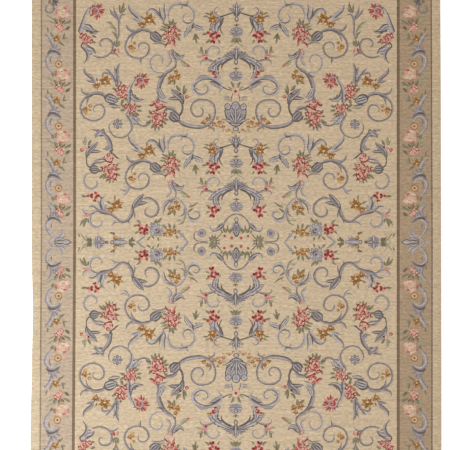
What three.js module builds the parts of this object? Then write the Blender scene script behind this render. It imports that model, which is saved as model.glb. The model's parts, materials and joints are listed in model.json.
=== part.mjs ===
// A flat tapestry-woven rug with a scrolled field and a flowered border, lying flat on a floor.
//
// The rug is one cloth: field, border, guard stripes and the plain outer band are woven in one piece, so it is one
// solid. It lies face up. X runs across the rug, Y along it, +Z is up, and the origin is in the middle of the
// underside. The two long sides wander by a few millimetres, as a rug's selvedges do, and the two ends are straight
// and plain. All sizes are in millimetres.
import * as THREE from "three";

// Driving sizes.
const RUG_WIDTH = 1700;
const RUG_LENGTH = 2400;
const CLOTH_THICKNESS = 4;

// The selvedges and ends are rounded over, and each corner is turned on a small radius.
const EDGE_ROUNDING = 1.6;
const EDGE_ROUNDING_STEPS = 3;
const CORNER_RADIUS = 5;
const CORNER_STEPS = 5;

// How far each selvedge stands outside the nominal half width, at places along the rug. Between the places the edge
// is a smooth curve.
const LEFT_SELVEDGE = [
  { along: -1200, out: 4 },
  { along: -1000, out: 5 },
  { along: -800, out: 5 },
  { along: -550, out: 0 },
  { along: -430, out: -2 },
  { along: -300, out: -5 },
  { along: -180, out: -3 },
  { along: -50, out: 0 },
  { along: 500, out: 0 },
  { along: 1200, out: 0 },
];
const RIGHT_SELVEDGE = [
  { along: -1200, out: 2 },
  { along: -800, out: 2 },
  { along: -180, out: 1 },
  { along: 250, out: 0 },
  { along: 640, out: -1 },
  { along: 1200, out: -3 },
];
const POINTS_ALONG_SELVEDGE = 48;
const CLOTH_COLOUR = 0xd0bd98;
const CLOTH_ROUGHNESS = 0.95;

// Points along one selvedge, from the near end to the far end. side is -1 on the left and 1 on the right.
function selvedgePoints(places, side) {
  const curve = new THREE.SplineCurve(
    places.map(({ along, out }) => new THREE.Vector2(side * (RUG_WIDTH / 2 + out), along)),
  );
  return curve.getPoints(POINTS_ALONG_SELVEDGE);
}

// The two lines that meet at a corner are cut back by the corner's radius and joined by a smooth turn.
function roundCorner(outline, corner, before, after) {
  const towards = (point) => point.clone().sub(corner).normalize().multiplyScalar(CORNER_RADIUS).add(corner);
  const start = towards(before);
  const end = towards(after);
  const turn = new THREE.QuadraticBezierCurve(start, corner, end);
  for (const point of turn.getPoints(CORNER_STEPS)) {
    outline.push(point);
  }
}

// The rug's outline, anticlockwise from the near left corner.
function rugOutline() {
  const left = selvedgePoints(LEFT_SELVEDGE, -1);
  const right = selvedgePoints(RIGHT_SELVEDGE, 1);
  const outline = [];
  roundCorner(outline, left[0], left[1], right[0]);
  roundCorner(outline, right[0], left[0], right[1]);
  outline.push(...right.slice(1, -1));
  roundCorner(outline, right.at(-1), right.at(-2), left.at(-1));
  roundCorner(outline, left.at(-1), right.at(-1), left.at(-2));
  outline.push(...left.slice(1, -1).reverse());
  return new THREE.Shape(outline);
}

function rugCloth() {
  const cloth = new THREE.ExtrudeGeometry(rugOutline(), {
    depth: CLOTH_THICKNESS - 2 * EDGE_ROUNDING,
    bevelEnabled: true,
    bevelThickness: EDGE_ROUNDING,
    bevelSize: EDGE_ROUNDING,
    bevelOffset: -EDGE_ROUNDING,
    bevelSegments: EDGE_ROUNDING_STEPS,
    curveSegments: 1,
  });
  // The wandering selvedges leave the outline a little off centre.
  cloth.computeBoundingBox();
  const middle = cloth.boundingBox.getCenter(new THREE.Vector3());
  cloth.translate(-middle.x, -middle.y, -cloth.boundingBox.min.z);
  return cloth;
}

const rugMaterial = new THREE.MeshStandardMaterial({
  color: CLOTH_COLOUR,
  roughness: CLOTH_ROUGHNESS,
  metalness: 0,
});

const rug = new THREE.Mesh(rugCloth(), rugMaterial);
rug.name = "rug_cloth";

const part = new THREE.Group();
part.add(rug);

export default part;
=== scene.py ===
"""An aubusson rug, lying flat and seen from straight above.

The cloth is one closed sheet. Its top is cut along the outlines of a woven pattern of scrolls, roses and
leaves, and each face carries the colour of its yarn, so the pattern needs no image. A quarter of the pattern
is drawn below and mirrored to the other three.
"""

import bmesh
import bpy
import json
import math
import numpy as np
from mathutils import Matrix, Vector, noise
from mathutils.geometry import delaunay_2d_cdt

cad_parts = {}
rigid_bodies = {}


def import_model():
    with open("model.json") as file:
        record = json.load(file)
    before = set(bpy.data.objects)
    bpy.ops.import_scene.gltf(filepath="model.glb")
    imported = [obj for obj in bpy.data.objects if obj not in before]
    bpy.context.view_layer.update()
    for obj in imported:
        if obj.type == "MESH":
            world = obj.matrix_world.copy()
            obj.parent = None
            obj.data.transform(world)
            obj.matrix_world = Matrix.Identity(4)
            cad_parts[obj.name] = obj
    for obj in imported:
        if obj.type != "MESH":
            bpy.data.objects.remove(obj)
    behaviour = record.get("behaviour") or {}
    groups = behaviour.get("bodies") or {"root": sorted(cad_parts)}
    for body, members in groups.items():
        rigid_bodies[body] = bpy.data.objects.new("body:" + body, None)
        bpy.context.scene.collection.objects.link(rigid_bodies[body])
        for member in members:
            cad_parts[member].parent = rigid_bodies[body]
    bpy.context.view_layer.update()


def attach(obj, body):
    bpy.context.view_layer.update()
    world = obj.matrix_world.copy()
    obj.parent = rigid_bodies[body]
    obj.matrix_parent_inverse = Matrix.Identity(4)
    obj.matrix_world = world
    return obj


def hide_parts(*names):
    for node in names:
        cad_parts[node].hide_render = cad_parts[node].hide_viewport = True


for start_object in list(bpy.data.objects):
    bpy.data.objects.remove(start_object)

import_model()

# Sizes of the rug and its bands, in millimetres, and how far apart the field and the garland repeat. An end
# band lies as far out as the side band and END_SHIFT together.
HALF_WIDTH = 850.0
HALF_LENGTH = 1200.0
GUARD_LINE = (668.5, 679.5)
OUTER_LINE = (806.0, 812.0)
END_SHIFT = 341.0
FIELD_REPEAT = 545.0
GARLAND_REPEAT = 258.0

# The cartoon is the full-size drawing that a tapestry is woven from. Its lists hold (yarn, outline) pairs,
# and a later pair lies over an earlier one. X is the distance from the long middle line, Y the distance from
# the cross middle line, both in millimetres, so one quarter of the rug is drawn and the rest mirrors it.
POINT_SPACING = 7.0
LOBE_DEPTH = 0.45
MARGIN = 20.0

# Yarns that are used together, from the dark rim of a motif to its light side
GREY = ("slate", "grey", "lavender")
GREEN = ("pine", "olive", "sage")
OCHRE = ("umber", "ochre", "gold")
PALE = ("slate", "lavender", "silver")
MIST = ("grey", "lavender", "silver")
OLIVE = ("olive", "sage", "sage")
PINK = ("rose", "pink", "blush")
DARK = ("pine", "pine", "olive")
AUTUMN = ("umber", "olive", "sage")
RED = ("crimson", "rose", "pink")
GOLD = ("ochre", "gold", "gold")


def curve_through(places, spacing=POINT_SPACING):
    """Points on a smooth curve through a few given places."""
    ends = [places[0]] + list(places) + [places[-1]]
    line = []
    for before, start, end, after in zip(ends, ends[1:], ends[2:], ends[3:]):
        steps = max(2, round(math.dist(start, end) / spacing))
        for step in range(steps):
            t = step / steps
            line.append(tuple(
                0.5 * (2 * b + (c - a) * t + (2 * a - 5 * b + 4 * c - d) * t ** 2
                       + (3 * b - a - 3 * c + d) * t ** 3)
                for a, b, c, d in zip(before, start, end, after)))
    line.append(tuple(places[-1]))
    return line


def width_along(widths, t):
    """The width at a share t of the way along, between a few widths spread evenly."""
    place = t * (len(widths) - 1)
    index = min(int(place), len(widths) - 2)
    blend = place - index
    blend = blend * blend * (3 - 2 * blend)
    return widths[index] * (1 - blend) + widths[index + 1] * blend


def ribbon(yarn, places, widths, shift=0.0, share=1.0, lobes=0, lobe_side=0, spacing=POINT_SPACING):
    """A band along a curve, with lobed edges or not. Its shift sideways is a share of its width."""
    if lobes:
        spacing = spacing * 0.6
    line = curve_through(places, spacing)
    left = []
    right = []
    for index, (x, y) in enumerate(line):
        ahead = line[min(index + 1, len(line) - 1)]
        behind = line[max(index - 1, 0)]
        run = math.dist(ahead, behind) or 1.0
        nx = -(ahead[1] - behind[1]) / run
        ny = (ahead[0] - behind[0]) / run
        t = index / (len(line) - 1)
        width = width_along(widths, t)
        reach = {1: share * width / 2, -1: share * width / 2}
        if lobes:
            scallop = 1 - LOBE_DEPTH * (1 - abs(math.sin(math.pi * lobes * t)) ** 0.7)
            for side in (1, -1):
                if lobe_side in (0, side):
                    reach[side] *= scallop
        middle = shift * width
        left.append((x + nx * (middle + reach[1]), y + ny * (middle + reach[1])))
        right.append((x + nx * (middle - reach[-1]), y + ny * (middle - reach[-1])))
    first = line[0]
    last = line[-1]
    end_run = math.dist(line[-1], line[-2]) or 1.0
    end_width = share * widths[-1] / 2
    nose = (last[0] + (last[0] - line[-2][0]) / end_run * end_width,
            last[1] + (last[1] - line[-2][1]) / end_run * end_width)
    start_run = math.dist(line[0], line[1]) or 1.0
    start_width = share * widths[0] / 2
    tail = (first[0] + (first[0] - line[1][0]) / start_run * start_width,
            first[1] + (first[1] - line[1][1]) / start_run * start_width)
    return [(yarn, left + [nose] + right[::-1] + [tail])]


def scroll(places, widths, lit=1, yarns=GREY):
    """A shaded band: dark at one edge, with a lighter body and a light line towards the lit side."""
    dark, body, light = yarns
    shapes = ribbon(dark, places, widths)
    shapes += ribbon(body, places, widths, shift=lit * 0.12, share=0.68)
    if max(widths) > 7:
        shapes += ribbon(light, places, widths, shift=lit * 0.22, share=0.34)
    return shapes


def bowed(base, tip, bend):
    """Three places from a foot to a tip, bowed sideways by a share of the length."""
    dx = tip[0] - base[0]
    dy = tip[1] - base[1]
    return [base, ((base[0] + tip[0]) / 2 - dy * bend, (base[1] + tip[1]) / 2 + dx * bend), tip]


def leaf(base, tip, width, bend=0.0, yarns=GREEN):
    """A pointed leaf, half of it lighter, or nearly all of it in pale yarns."""
    places = bowed(base, tip, bend)
    widths = [width * 0.25, width * 0.85, width, width * 0.65, 0.6]
    shapes = ribbon(yarns[0], places, widths)
    if yarns == PALE:
        shapes += ribbon(yarns[1], places, widths, share=0.66)
        return shapes + ribbon(yarns[2], places, widths, 0.1, 0.3)
    return shapes + ribbon(yarns[1], places, widths, shift=0.2, share=0.48)


def blades(rows, light="silver"):
    """Stiff leaves with a strong dark rim, from rows of numbers as leaves takes them."""
    shapes = []
    for x, y, tip_x, tip_y, width, bend in rows:
        for yarn, share in (("slate", 1.0), (light, 0.46)):
            shapes += ribbon(yarn, bowed((x, y), (tip_x, tip_y), bend),
                             [width * 0.4, width * 0.95, width, width * 0.7, 0.8], share=share)
    return shapes


def each(motif, *rows):
    """What one motif function draws from several rows of the values that it takes."""
    return [shape for row in rows for shape in motif(*row)]


def leaves(rows, yarns=GREEN):
    """Leaves from rows of numbers: the foot's x and y, the tip's x and y, the width and the bend."""
    shapes = []
    for x, y, tip_x, tip_y, width, bend in rows:
        shapes += leaf((x, y), (tip_x, tip_y), width, bend, yarns)
    return shapes


def spot(yarn, centre, radius, squash=1.0, turn=0.0, sides=9):
    """A round or oval patch."""
    tilt = math.radians(turn)
    outline = []
    for index in range(sides):
        angle = 2 * math.pi * index / sides
        u = radius * math.cos(angle)
        v = radius * squash * math.sin(angle)
        outline.append((centre[0] + u * math.cos(tilt) - v * math.sin(tilt),
                        centre[1] + u * math.sin(tilt) + v * math.cos(tilt)))
    return [(yarn, outline)]


def berry(centre, radius, yarns=OCHRE):
    """A round fruit with a light side."""
    dark, body, light = yarns
    shapes = spot(dark, centre, radius)
    shapes += spot(body, (centre[0] - radius * 0.1, centre[1] + radius * 0.12), radius * 0.78, sides=8)
    return shapes + spot(light, (centre[0] - radius * 0.2, centre[1] + radius * 0.25), radius * 0.42, sides=6)


def polar(centre, reach, degrees):
    """The place at a distance and an angle from a centre."""
    angle = math.radians(degrees)
    return (centre[0] + reach * math.cos(angle), centre[1] + reach * math.sin(angle))


def crescent(yarn, centre, radius, start, sweep, thickness):
    """An arc that is thick in its middle and pointed at both ends."""
    places = [polar(centre, radius, start + sweep * share) for share in (0, 0.5, 1)]
    return ribbon(yarn, places, [0.5, thickness, thickness, 0.5], spacing=max(3.0, radius * 0.5))


def flower(centre, radius, petals, yarns, heart, turn, squash=1.0):
    """A ragged flower: pointed petals parted by dark strokes, about a dark heart with a light patch."""
    dark, body, light = yarns
    outline = []
    for index in range(2 * petals):
        reach = radius * (0.58 if index % 2 else 1.0 + 0.12 * math.sin(index * 2.4))
        x, y = polar((0, 0), reach, turn + 180 * index / petals)
        outline.append((centre[0] + x, centre[1] + y * squash))
    shapes = [(body, outline)]
    for index in range(petals):
        angle = turn + 360 * index / petals
        if index % 2:
            shapes += spot(light, polar(centre, radius * 0.55, angle), radius * 0.2, 0.6, angle, sides=5)
        else:
            shapes += ribbon(dark, [polar(centre, radius * 0.45, angle), polar(centre, radius * 0.95, angle)],
                             [radius * 0.12, radius * 0.2, 0.5], spacing=radius)
        parting = angle + 180 / petals
        valley = [polar(centre, radius * 0.3, parting), polar(centre, radius * 0.66, parting)]
        shapes += ribbon(dark, valley, [radius * 0.1, radius * 0.2, 0.5], spacing=radius)
    shapes += spot(dark, polar(centre, radius * 0.08, 80), radius * 0.3, sides=7)
    return shapes + spot(heart, polar(centre, radius * 0.12, -80), radius * 0.2, 0.75, sides=6)


PALE_ROSE = ("wine", "crimson", "rose", "pink", "blush")
BORDER_ROSE = ("crimson", "rose", "rose", "pink", "cream")
# The strokes of a rose: where each starts and how far it sweeps, in degrees, its ring and its thickness as
# shares of the rose's radius, and which of the rose's five yarns it takes, from the darkest
ROSE_STROKES = (
    (8, 58, 0.84, 0.20, 0), (150, 46, 0.86, 0.14, 1), (222, 30, 0.82, 0.14, 1), (322, 34, 0.80, 0.18, 0),
    (30, 64, 0.54, 0.17, 1), (112, 52, 0.58, 0.17, 0), (240, 40, 0.58, 0.18, 1), (300, 56, 0.52, 0.16, 0),
    (350, 90, 0.26, 0.15, 0), (130, 110, 0.28, 0.14, 1),
)


def rose(centre, radius, turn, yarns=PALE_ROSE, strokes=ROSE_STROKES):
    """A full-blown rose: dark and pale petals by turns, and broken dark strokes that wind in to its heart."""
    shapes = spot(yarns[3], centre, radius * 0.7, sides=10)
    for index, reach in enumerate((0.56, 0.64, 0.54, 0.66, 0.58, 0.62)):
        angle = turn + 60 * index
        petal = polar(centre, radius * reach, angle)
        shapes += spot(yarns[3 if index % 2 else 1], petal, radius * 0.42, 0.8, angle + 90, 8)
        light = polar(centre, radius * (reach + 0.02), angle + 14)
        shapes += spot(yarns[4], light, radius * 0.28, 0.65, angle + 90, 7)
    shapes += spot(yarns[4], polar(centre, radius * 0.12, turn + 60), radius * 0.3, 0.8, turn, 6)
    for start, sweep, ring, thickness, yarn in strokes:
        shapes += crescent(yarns[yarn], centre, radius * ring, turn + start, sweep, radius * thickness * 1.2)
    return shapes


def red_blossom(centre, turn, size):
    """A small ragged blossom of crimson and pink petals."""
    shapes = spot("crimson", centre, 8 * size, sides=8)
    for index, yarn in enumerate(("crimson", "pink", "wine", "crimson", "blush")):
        angle = turn + 72 * index
        shapes += spot(yarn, polar(centre, 7.2 * size, angle), 4.8 * size, 0.85, angle, sides=7)
    return shapes + spot("rose", polar(centre, 2 * size, turn), 3.5 * size, sides=6)


def grey_blossom(centre, radius, petals):
    """A pale grey flower: rounded petals with dark rims round a ringed heart."""
    shapes = spot("grey", centre, radius * 0.66, sides=10)
    for index in range(petals):
        x, y = polar((0, 0), radius * 0.68, 360 * index / petals)
        angle = math.degrees(math.atan2(y, x))
        middle = (centre[0] + x, centre[1] + y)
        shapes += spot("grey" if index % 2 else "slate", middle, radius * 0.37, 0.72, angle, sides=8)
        light = "silver" if index % 2 else "lavender"
        shapes += spot(light, polar(middle, -1, angle), radius * 0.25, 0.6, angle, 7)
    shapes += spot("grey", centre, radius * 0.4, sides=9)
    shapes += spot("lavender", centre, radius * 0.32, sides=8)
    return shapes + spot("slate", centre, radius * 0.15, sides=7)


def pointed_blossom(centre, petals, width):
    """A pale grey flower of broad pointed petals with dark rims, from each petal's angle and reach."""
    shapes = []
    for angle, reach in petals:
        shapes += leaf(polar(centre, 2, angle), polar(centre, reach, angle), width, 0.0, PALE)
    return shapes + spot("grey", centre, width * 0.45, sides=8)


def tulip_bud(base, tip, width, yarns, stripes):
    """A fat striped bud."""
    dark, body, light = yarns
    widths = [width * 0.45, width * 0.95, width, width * 0.8, width * 0.25]
    inner = [width * 0.2, width * 0.7, width * 0.75, width * 0.55, 1.0]
    shapes = ribbon(dark, [base, tip], widths, spacing=5)
    shapes += ribbon(body, [base, tip], inner, spacing=6)
    for stripe in range(stripes):
        side = (stripe - (stripes - 1) / 2) / stripes * 0.75
        band = [1.0, width * 0.16, width * 0.16, 0.5]
        shapes += ribbon(light if stripe % 2 == 0 else dark, [base, tip], band, shift=side * 5.5, spacing=8)
    return shapes


def trumpet(neck, throat, near_lip, far_lip, width):
    """A bell flower seen from the side: two long striped lips that part at one throat."""
    near_middle = (throat[0] * 0.55 + near_lip[0] * 0.45, throat[1] * 0.55 + near_lip[1] * 0.45)
    near_side = [neck, throat, near_middle, near_lip]
    shapes = ribbon("slate", [neck, throat, far_lip], [width * 0.5, width * 0.8, width * 0.6, 1.0])
    shapes += ribbon("lavender", [neck, throat, far_lip], [1.0, width * 0.3, width * 0.24, 0.6])
    shapes += ribbon("slate", near_side, [width * 0.5, width * 1.0, width * 0.95, 3.0])
    for side, yarn, share in ((0.3, "lavender", 0.2), (-0.28, "silver", 0.2), (0.02, "grey", 0.14)):
        shapes += ribbon(yarn, near_side, [1.0, width, width * 0.9, 1.0], side, share)
    return shapes


def acanthus(places, widths, lobes, side=0, yarns=GREY, veins=True):
    """A lobed leaf along a curve, dark at its rim, with a lighter body and dark and light veins."""
    dark, body, light = yarns
    shapes = ribbon(dark, places, widths, lobes=lobes, lobe_side=side)
    shapes += ribbon(body, places, widths, share=0.74, lobes=lobes, lobe_side=side)
    if veins:
        rows = ((light, 0.2, 0.2), (dark, 0.03, 0.09), (light, -0.18, 0.2), (dark, -0.34, 0.06))
        for yarn, shift, share in rows:
            shapes += ribbon(yarn, places, widths, shift, share)
    return shapes


def moved(shapes, across, along):
    """The same shapes, moved away from the two middle lines."""
    return [(yarn, [(x + across, y + along) for x, y in outline]) for yarn, outline in shapes]


def axis_column():
    """What repeats up the long middle line: two palmettes, their beads and the grey blossoms below them."""
    shapes = blades(((3, 938, 32, 973, 14, 0.14), (3, 940, 18, 987, 14, 0.08), (0, 938, 0, 1001, 14, 0)))
    shapes += blades(((3, 758, 23, 798, 13, 0.1), (2, 760, 13, 808, 12, 0.06), (0, 758, 0, 818, 13, 0)))
    for bead, crown, blossom in ((926, 899, 872), (748, 719, 690)):
        shapes += spot("slate", (0, bead), 9, 1.25) + spot("silver", (0, bead + 1), 4.8, 1.5)
        shapes += leaves(((0, crown, 14, crown + 3, 7, 0.1), (0, crown - 2, 0, crown + 11, 7, 0)),
            ("umber", "olive"))
        shapes += pointed_blossom((0, blossom), ((-90, 20), (-54, 25), (-22, 30), (64, 26), (36, 30), (6, 32),
            (90, 27)), 15)
    shapes += leaves(((2, 848, 23, 828, 13, 0.08), (0, 850, 9, 824, 13, 0)))
    shapes += ribbon("sage", [(2, 828), (22, 817), (42, 798)], [3, 6, 1])
    return shapes + ribbon("olive", [(4, 826), (22, 816)], [1, 3])


def hanging_spray():
    """The ochre fruit with its pale leaf, and the red buds below."""
    shapes = each(acanthus,
        ([(64, 932), (78, 915), (90, 896), (86, 874), (74, 858)], [26, 42, 42, 22, 2], 0, 0, PALE),
        ([(88, 918), (102, 902), (108, 884)], [14, 18, 1], 2, -1, PALE, False))
    shapes += each(ribbon,
        ("slate", [(52, 931), (65, 923), (70, 904), (67, 880), (53, 861)], [3, 6, 5, 5, 1]),
        ("slate", [(2, 944), (14, 952), (34, 947), (60, 938), (84, 931)], [4, 5, 5, 6, 5]))
    shapes += each(flower, ((99, 947), 20, 7, OCHRE, "blush", 0), ((99, 926), 24, 7, OCHRE, "cream", 20))
    shapes += scroll([(70, 936), (85, 943), (95, 955), (92, 969), (81, 976), (70, 968)], [8, 9, 8, 7, 6, 2],
        -1, PALE)
    shapes += leaves(((114, 946, 132, 953, 9, 0.1), (116, 936, 142, 937, 9, 0.1), (110, 876, 112, 892, 8, 0),
        (120, 866, 145, 862, 10, 0.1), (110, 846, 130, 828, 10, -0.1), (76, 842, 64, 826, 8, 0.1)))
    for x, y, turn, size in ((82, 862, 60, 1.5), (110, 865, 40, 1.5), (98, 841, 100, 1.4)):
        shapes += red_blossom((x, y), turn, size)
    return shapes + spot("pink", (96, 857), 5, sides=7)


def low_spray():
    """The wing beside the second palmette, its feathered arm, and the curl and pink flowers at its end."""
    shapes = each(acanthus,
        ([(24, 770), (50, 760), (76, 746), (98, 730), (120, 720)], [10, 26, 36, 28, 1], 6, 0, PALE),
        ([(84, 730), (84, 712), (76, 694), (60, 677)], [26, 28, 16, 1], 3, -1, PALE))
    shapes += blades(((11, 772, 30, 795, 11, 0.05), (12, 769, 42, 789, 12, 0.05),
        (13, 766, 52, 779, 12, 0.05)), "lavender")
    shapes += each(ribbon,
        ("slate", [(14, 764), (34, 758), (52, 744), (60, 728), (59, 714)], [4, 9, 8, 7, 1]),
        ("slate", [(58, 750), (74, 734), (80, 712)], [2, 7, 1]),
        ("sage", [(84, 716), (87, 706), (84, 698)], [2, 5, 1]))
    shapes += each(scroll,
        ([(78, 742), (100, 753), (120, 758), (136, 757), (146, 750), (149, 738)], [4, 7, 9, 8, 6, 2], -1),
        ([(122, 760), (121, 784), (115, 802), (101, 812), (84, 811), (72, 801), (72, 788), (82, 779)],
            [8, 9, 9, 9, 8, 8, 7, 3], 1, MIST))
    shapes += leaves(((130, 780, 128, 804, 10, 0.1), (138, 782, 147, 816, 13, -0.05)))
    shapes += leaves(((142, 786, 160, 792, 9, 0.1), (142, 772, 168, 767, 8, 0.1)), OLIVE)
    shapes += flower((134, 774), 16, 6, PINK, "cream", 20)
    return shapes + spot("crimson", (124, 765), 6)


def arm_buds():
    """The few red buds under the upper feathered arm."""
    shapes = red_blossom((98, 708), 30, 1.1) + red_blossom((86, 690), 80, 0.9)
    return shapes + leaves(((106, 710, 122, 713, 9, 0.1),)) + spot("pink", (79, 680), 5)


def top_curl():
    """The pale C-scroll beside the axis, with the grey leaves and green sprig that hang from it."""
    shapes = leaves(((209, 985, 199, 1003, 9, 0), (222, 985, 231, 967, 8, 0)), PALE)
    shapes += scroll([(283, 924), (285, 948), (279, 972), (262, 987), (238, 991), (212, 986), (188, 975),
        (175, 954), (175, 932), (186, 914), (204, 909), (220, 916), (224, 932), (217, 946), (208, 950)],
        [5, 9, 11, 12, 12, 11, 10, 10, 10, 9, 8, 8, 7, 4], -1, MIST)
    shapes += each(ribbon,
        ("slate", [(206, 985), (222, 986), (236, 993)], [6, 5, 1]),
        ("slate", [(186, 916), (204, 909), (220, 917)], [2, 4, 2]))
    shapes += leaves(((172, 868, 152, 842, 10, 0.1), (172, 866, 164, 824, 12, 0.05),
        (173, 868, 183, 838, 11, -0.1)))
    shapes += leaves(((186, 914, 198, 929, 7, 0.1),), PALE)
    shapes += each(acanthus,
        ([(181, 903), (166, 892), (150, 888), (134, 880)], [10, 24, 18, 1], 4, 1, PALE),
        ([(186, 903), (196, 888), (208, 872), (218, 849)], [10, 22, 18, 1], 4, 1, PALE))
    return shapes + ribbon("slate", [(180, 912), (182, 898), (184, 884)], [4, 8, 1])


def rose_bouquet():
    """The tall cluster of roses, its leaves, ribbons and the striped bud beside it."""
    shapes = leaves(((266, 893, 248, 914, 13, 0), (266, 893, 262, 930, 13, 0), (268, 893, 281, 925, 13, 0),
        (274, 893, 292, 908, 12, 0), (280, 893, 311, 911, 10, 0.1), (284, 886, 316, 897, 9, 0.1),
        (290, 878, 322, 883, 10, 0.1), (296, 862, 320, 850, 10, 0.1), (288, 850, 306, 840, 11, 0.1),
        (246, 876, 230, 886, 10, 0.1), (246, 866, 228, 862, 9, 0.1), (246, 858, 234, 838, 13, 0.1)))
    shapes += ribbon("olive", [(296, 834), (318, 838), (346, 834)], [5, 6, 2])
    shapes += scroll([(292, 820), (318, 830), (350, 826)], [7, 8, 2], 1)
    shapes += each(rose,
        ((288, 862), 18, 30),
        ((258, 856), 19, 300),
        ((264, 880), 25, 0),
        ((276, 842), 15, 90, PALE_ROSE, ROSE_STROKES[:7]))
    shapes += leaf((264, 846), (256, 822), 12, 0.0, ("wine", "rose", "rose"))
    shapes += each(ribbon,
        ("crimson", [(262, 842), (276, 830), (292, 822), (297, 808)], [6, 9, 9, 2]),
        ("pink", [(270, 836), (282, 826), (290, 818)], [1, 4, 1]),
        ("rose", [(264, 838), (258, 822), (252, 808)], [5, 9, 1]),
        ("blush", [(270, 836), (266, 818), (270, 806)], [5, 8, 1]),
        ("wine", [(280, 838), (286, 848)], [5, 2]))
    shapes += spot("sage", (284, 834), 4)
    shapes += tulip_bud((353, 868), (320, 840), 42, GREY, 5)
    return shapes + ribbon("slate", [(340, 872), (322, 866), (312, 850), (316, 836)], [2, 5, 5, 2])


def bouquet_stem():
    """The leaf and the two strands that fall from the roses, with their buds and ochre flowers."""
    shapes = acanthus([(262, 790), (246, 772), (232, 766), (214, 782)], [12, 24, 18, 1], 3, 1, PALE)
    shapes += ribbon("slate", [(252, 782), (238, 775), (224, 776), (214, 784)], [3, 4, 4, 1])
    shapes += each(scroll,
        ([(284, 796), (280, 774), (272, 760), (278, 744), (292, 731)], [6, 9, 10, 9, 2], 1, MIST),
        ([(264, 800), (268, 786), (262, 772), (252, 756), (251, 740), (252, 726)], [8, 12, 10, 8, 7, 6], 1))
    shapes += tulip_bud((276, 782), (272, 802), 14, PINK, 1)
    shapes += leaf((230, 757), (190, 732), 20, 0.12, OLIVE)
    shapes += spot("rose", (198, 733), 8, 0.7, 30)
    shapes += leaves(((256, 684, 255, 652, 13, 0.05), (268, 680, 287, 656, 13, -0.1)))
    for x, y, radius, petals in ((250, 709, 13, 5), (242, 689, 17, 6), (269, 682, 19, 6)):
        shapes += flower((x, y), radius, petals, OCHRE, "cream", 250)
    return shapes


def bouquet_sweep():
    """The fat stem that sweeps out and down from the upper strands, with its curl and leaves."""
    shapes = scroll([(252, 738), (262, 723), (282, 712), (298, 698), (312, 675), (320, 650), (322, 626),
        (320, 604)], [8, 10, 14, 17, 19, 18, 16, 10], 1)
    shapes += leaf((258, 722), (290, 700), 8, 0.0, GREY)
    shapes += scroll([(288, 709), (308, 704), (332, 706), (350, 718), (359, 740), (357, 762), (342, 777),
        (322, 780), (307, 768), (305, 752), (312, 741)], [3, 5, 7, 8, 9, 9, 8, 8, 8, 7, 3], -1, MIST)
    shapes += leaf((300, 703), (332, 688), 9, -0.2, GREY)
    shapes += acanthus([(318, 640), (312, 618), (296, 604), (286, 610)], [12, 24, 18, 2], 3, -1, PALE)
    shapes += each(scroll,
        ([(322, 610), (316, 596), (304, 590), (282, 580)], [8, 12, 10, 2], -1, PALE),
        ([(322, 608), (332, 586), (346, 576), (364, 572)], [8, 10, 8, 1], 1))
    return shapes + scroll([(400, 766), (400, 754), (395, 738)], [10, 9, 1], 1)


def ochre_and_leaves():
    """Ochre flowers with the standing grey leaves on both sides."""
    shapes = each(scroll,
        ([(305, 913), (300, 938), (304, 964), (298, 1000)], [4, 14, 13, 1], -1, PALE),
        ([(303, 913), (316, 934), (331, 954), (352, 967), (366, 961), (366, 948)], [4, 14, 18, 16, 11, 1], -1,
            PALE))
    shapes += each(ribbon,
        ("slate", [(309, 922), (320, 942), (338, 958)], [1, 5, 1]),
        ("slate", [(312, 936), (318, 958), (320, 982)], [2, 6, 1]))
    shapes += each(scroll,
        ([(400, 916), (410, 938), (430, 956), (442, 968), (449, 992)], [7, 17, 18, 12, 1], 1, PALE),
        ([(404, 918), (420, 928), (444, 932)], [6, 12, 1], 1, PALE))
    shapes += leaves(((384, 928, 399, 942, 9, 0), (370, 944, 373, 962, 8, 0), (346, 914, 334, 902, 9, 0)))
    shapes += flower((362, 927), 29, 7, OCHRE, "cream", 8)
    return shapes + flower((392, 904), 24, 6, OCHRE, "blush", 20, 0.65)


def large_scroll():
    """The large field scroll that unwinds from the grey bud."""
    shapes = each(scroll,
        ([(416, 878), (438, 880), (452, 890), (459, 908)], [8, 10, 9, 1], 1),
        ([(394, 880), (418, 870), (434, 854), (438, 832)], [4, 8, 8, 2], 1),
        ([(350, 872), (372, 881), (398, 884), (424, 875), (446, 857), (460, 832), (463, 806), (452, 782),
            (430, 768), (404, 764), (380, 772), (365, 790), (362, 810), (372, 826), (390, 831), (404, 824),
            (408, 810), (404, 800)], [8, 13, 14, 12, 10, 9, 9, 9, 8, 8, 8, 8, 8, 8, 7, 7, 6, 3], 1))
    shapes += each(berry, ((424, 829), 7), ((424, 808), 5))
    return shapes + each(flower,
        ((440, 811), 15, 6, OCHRE, "blush", 0),
        ((430, 798), 11, 5, GOLD, "cream", 0))


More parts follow.
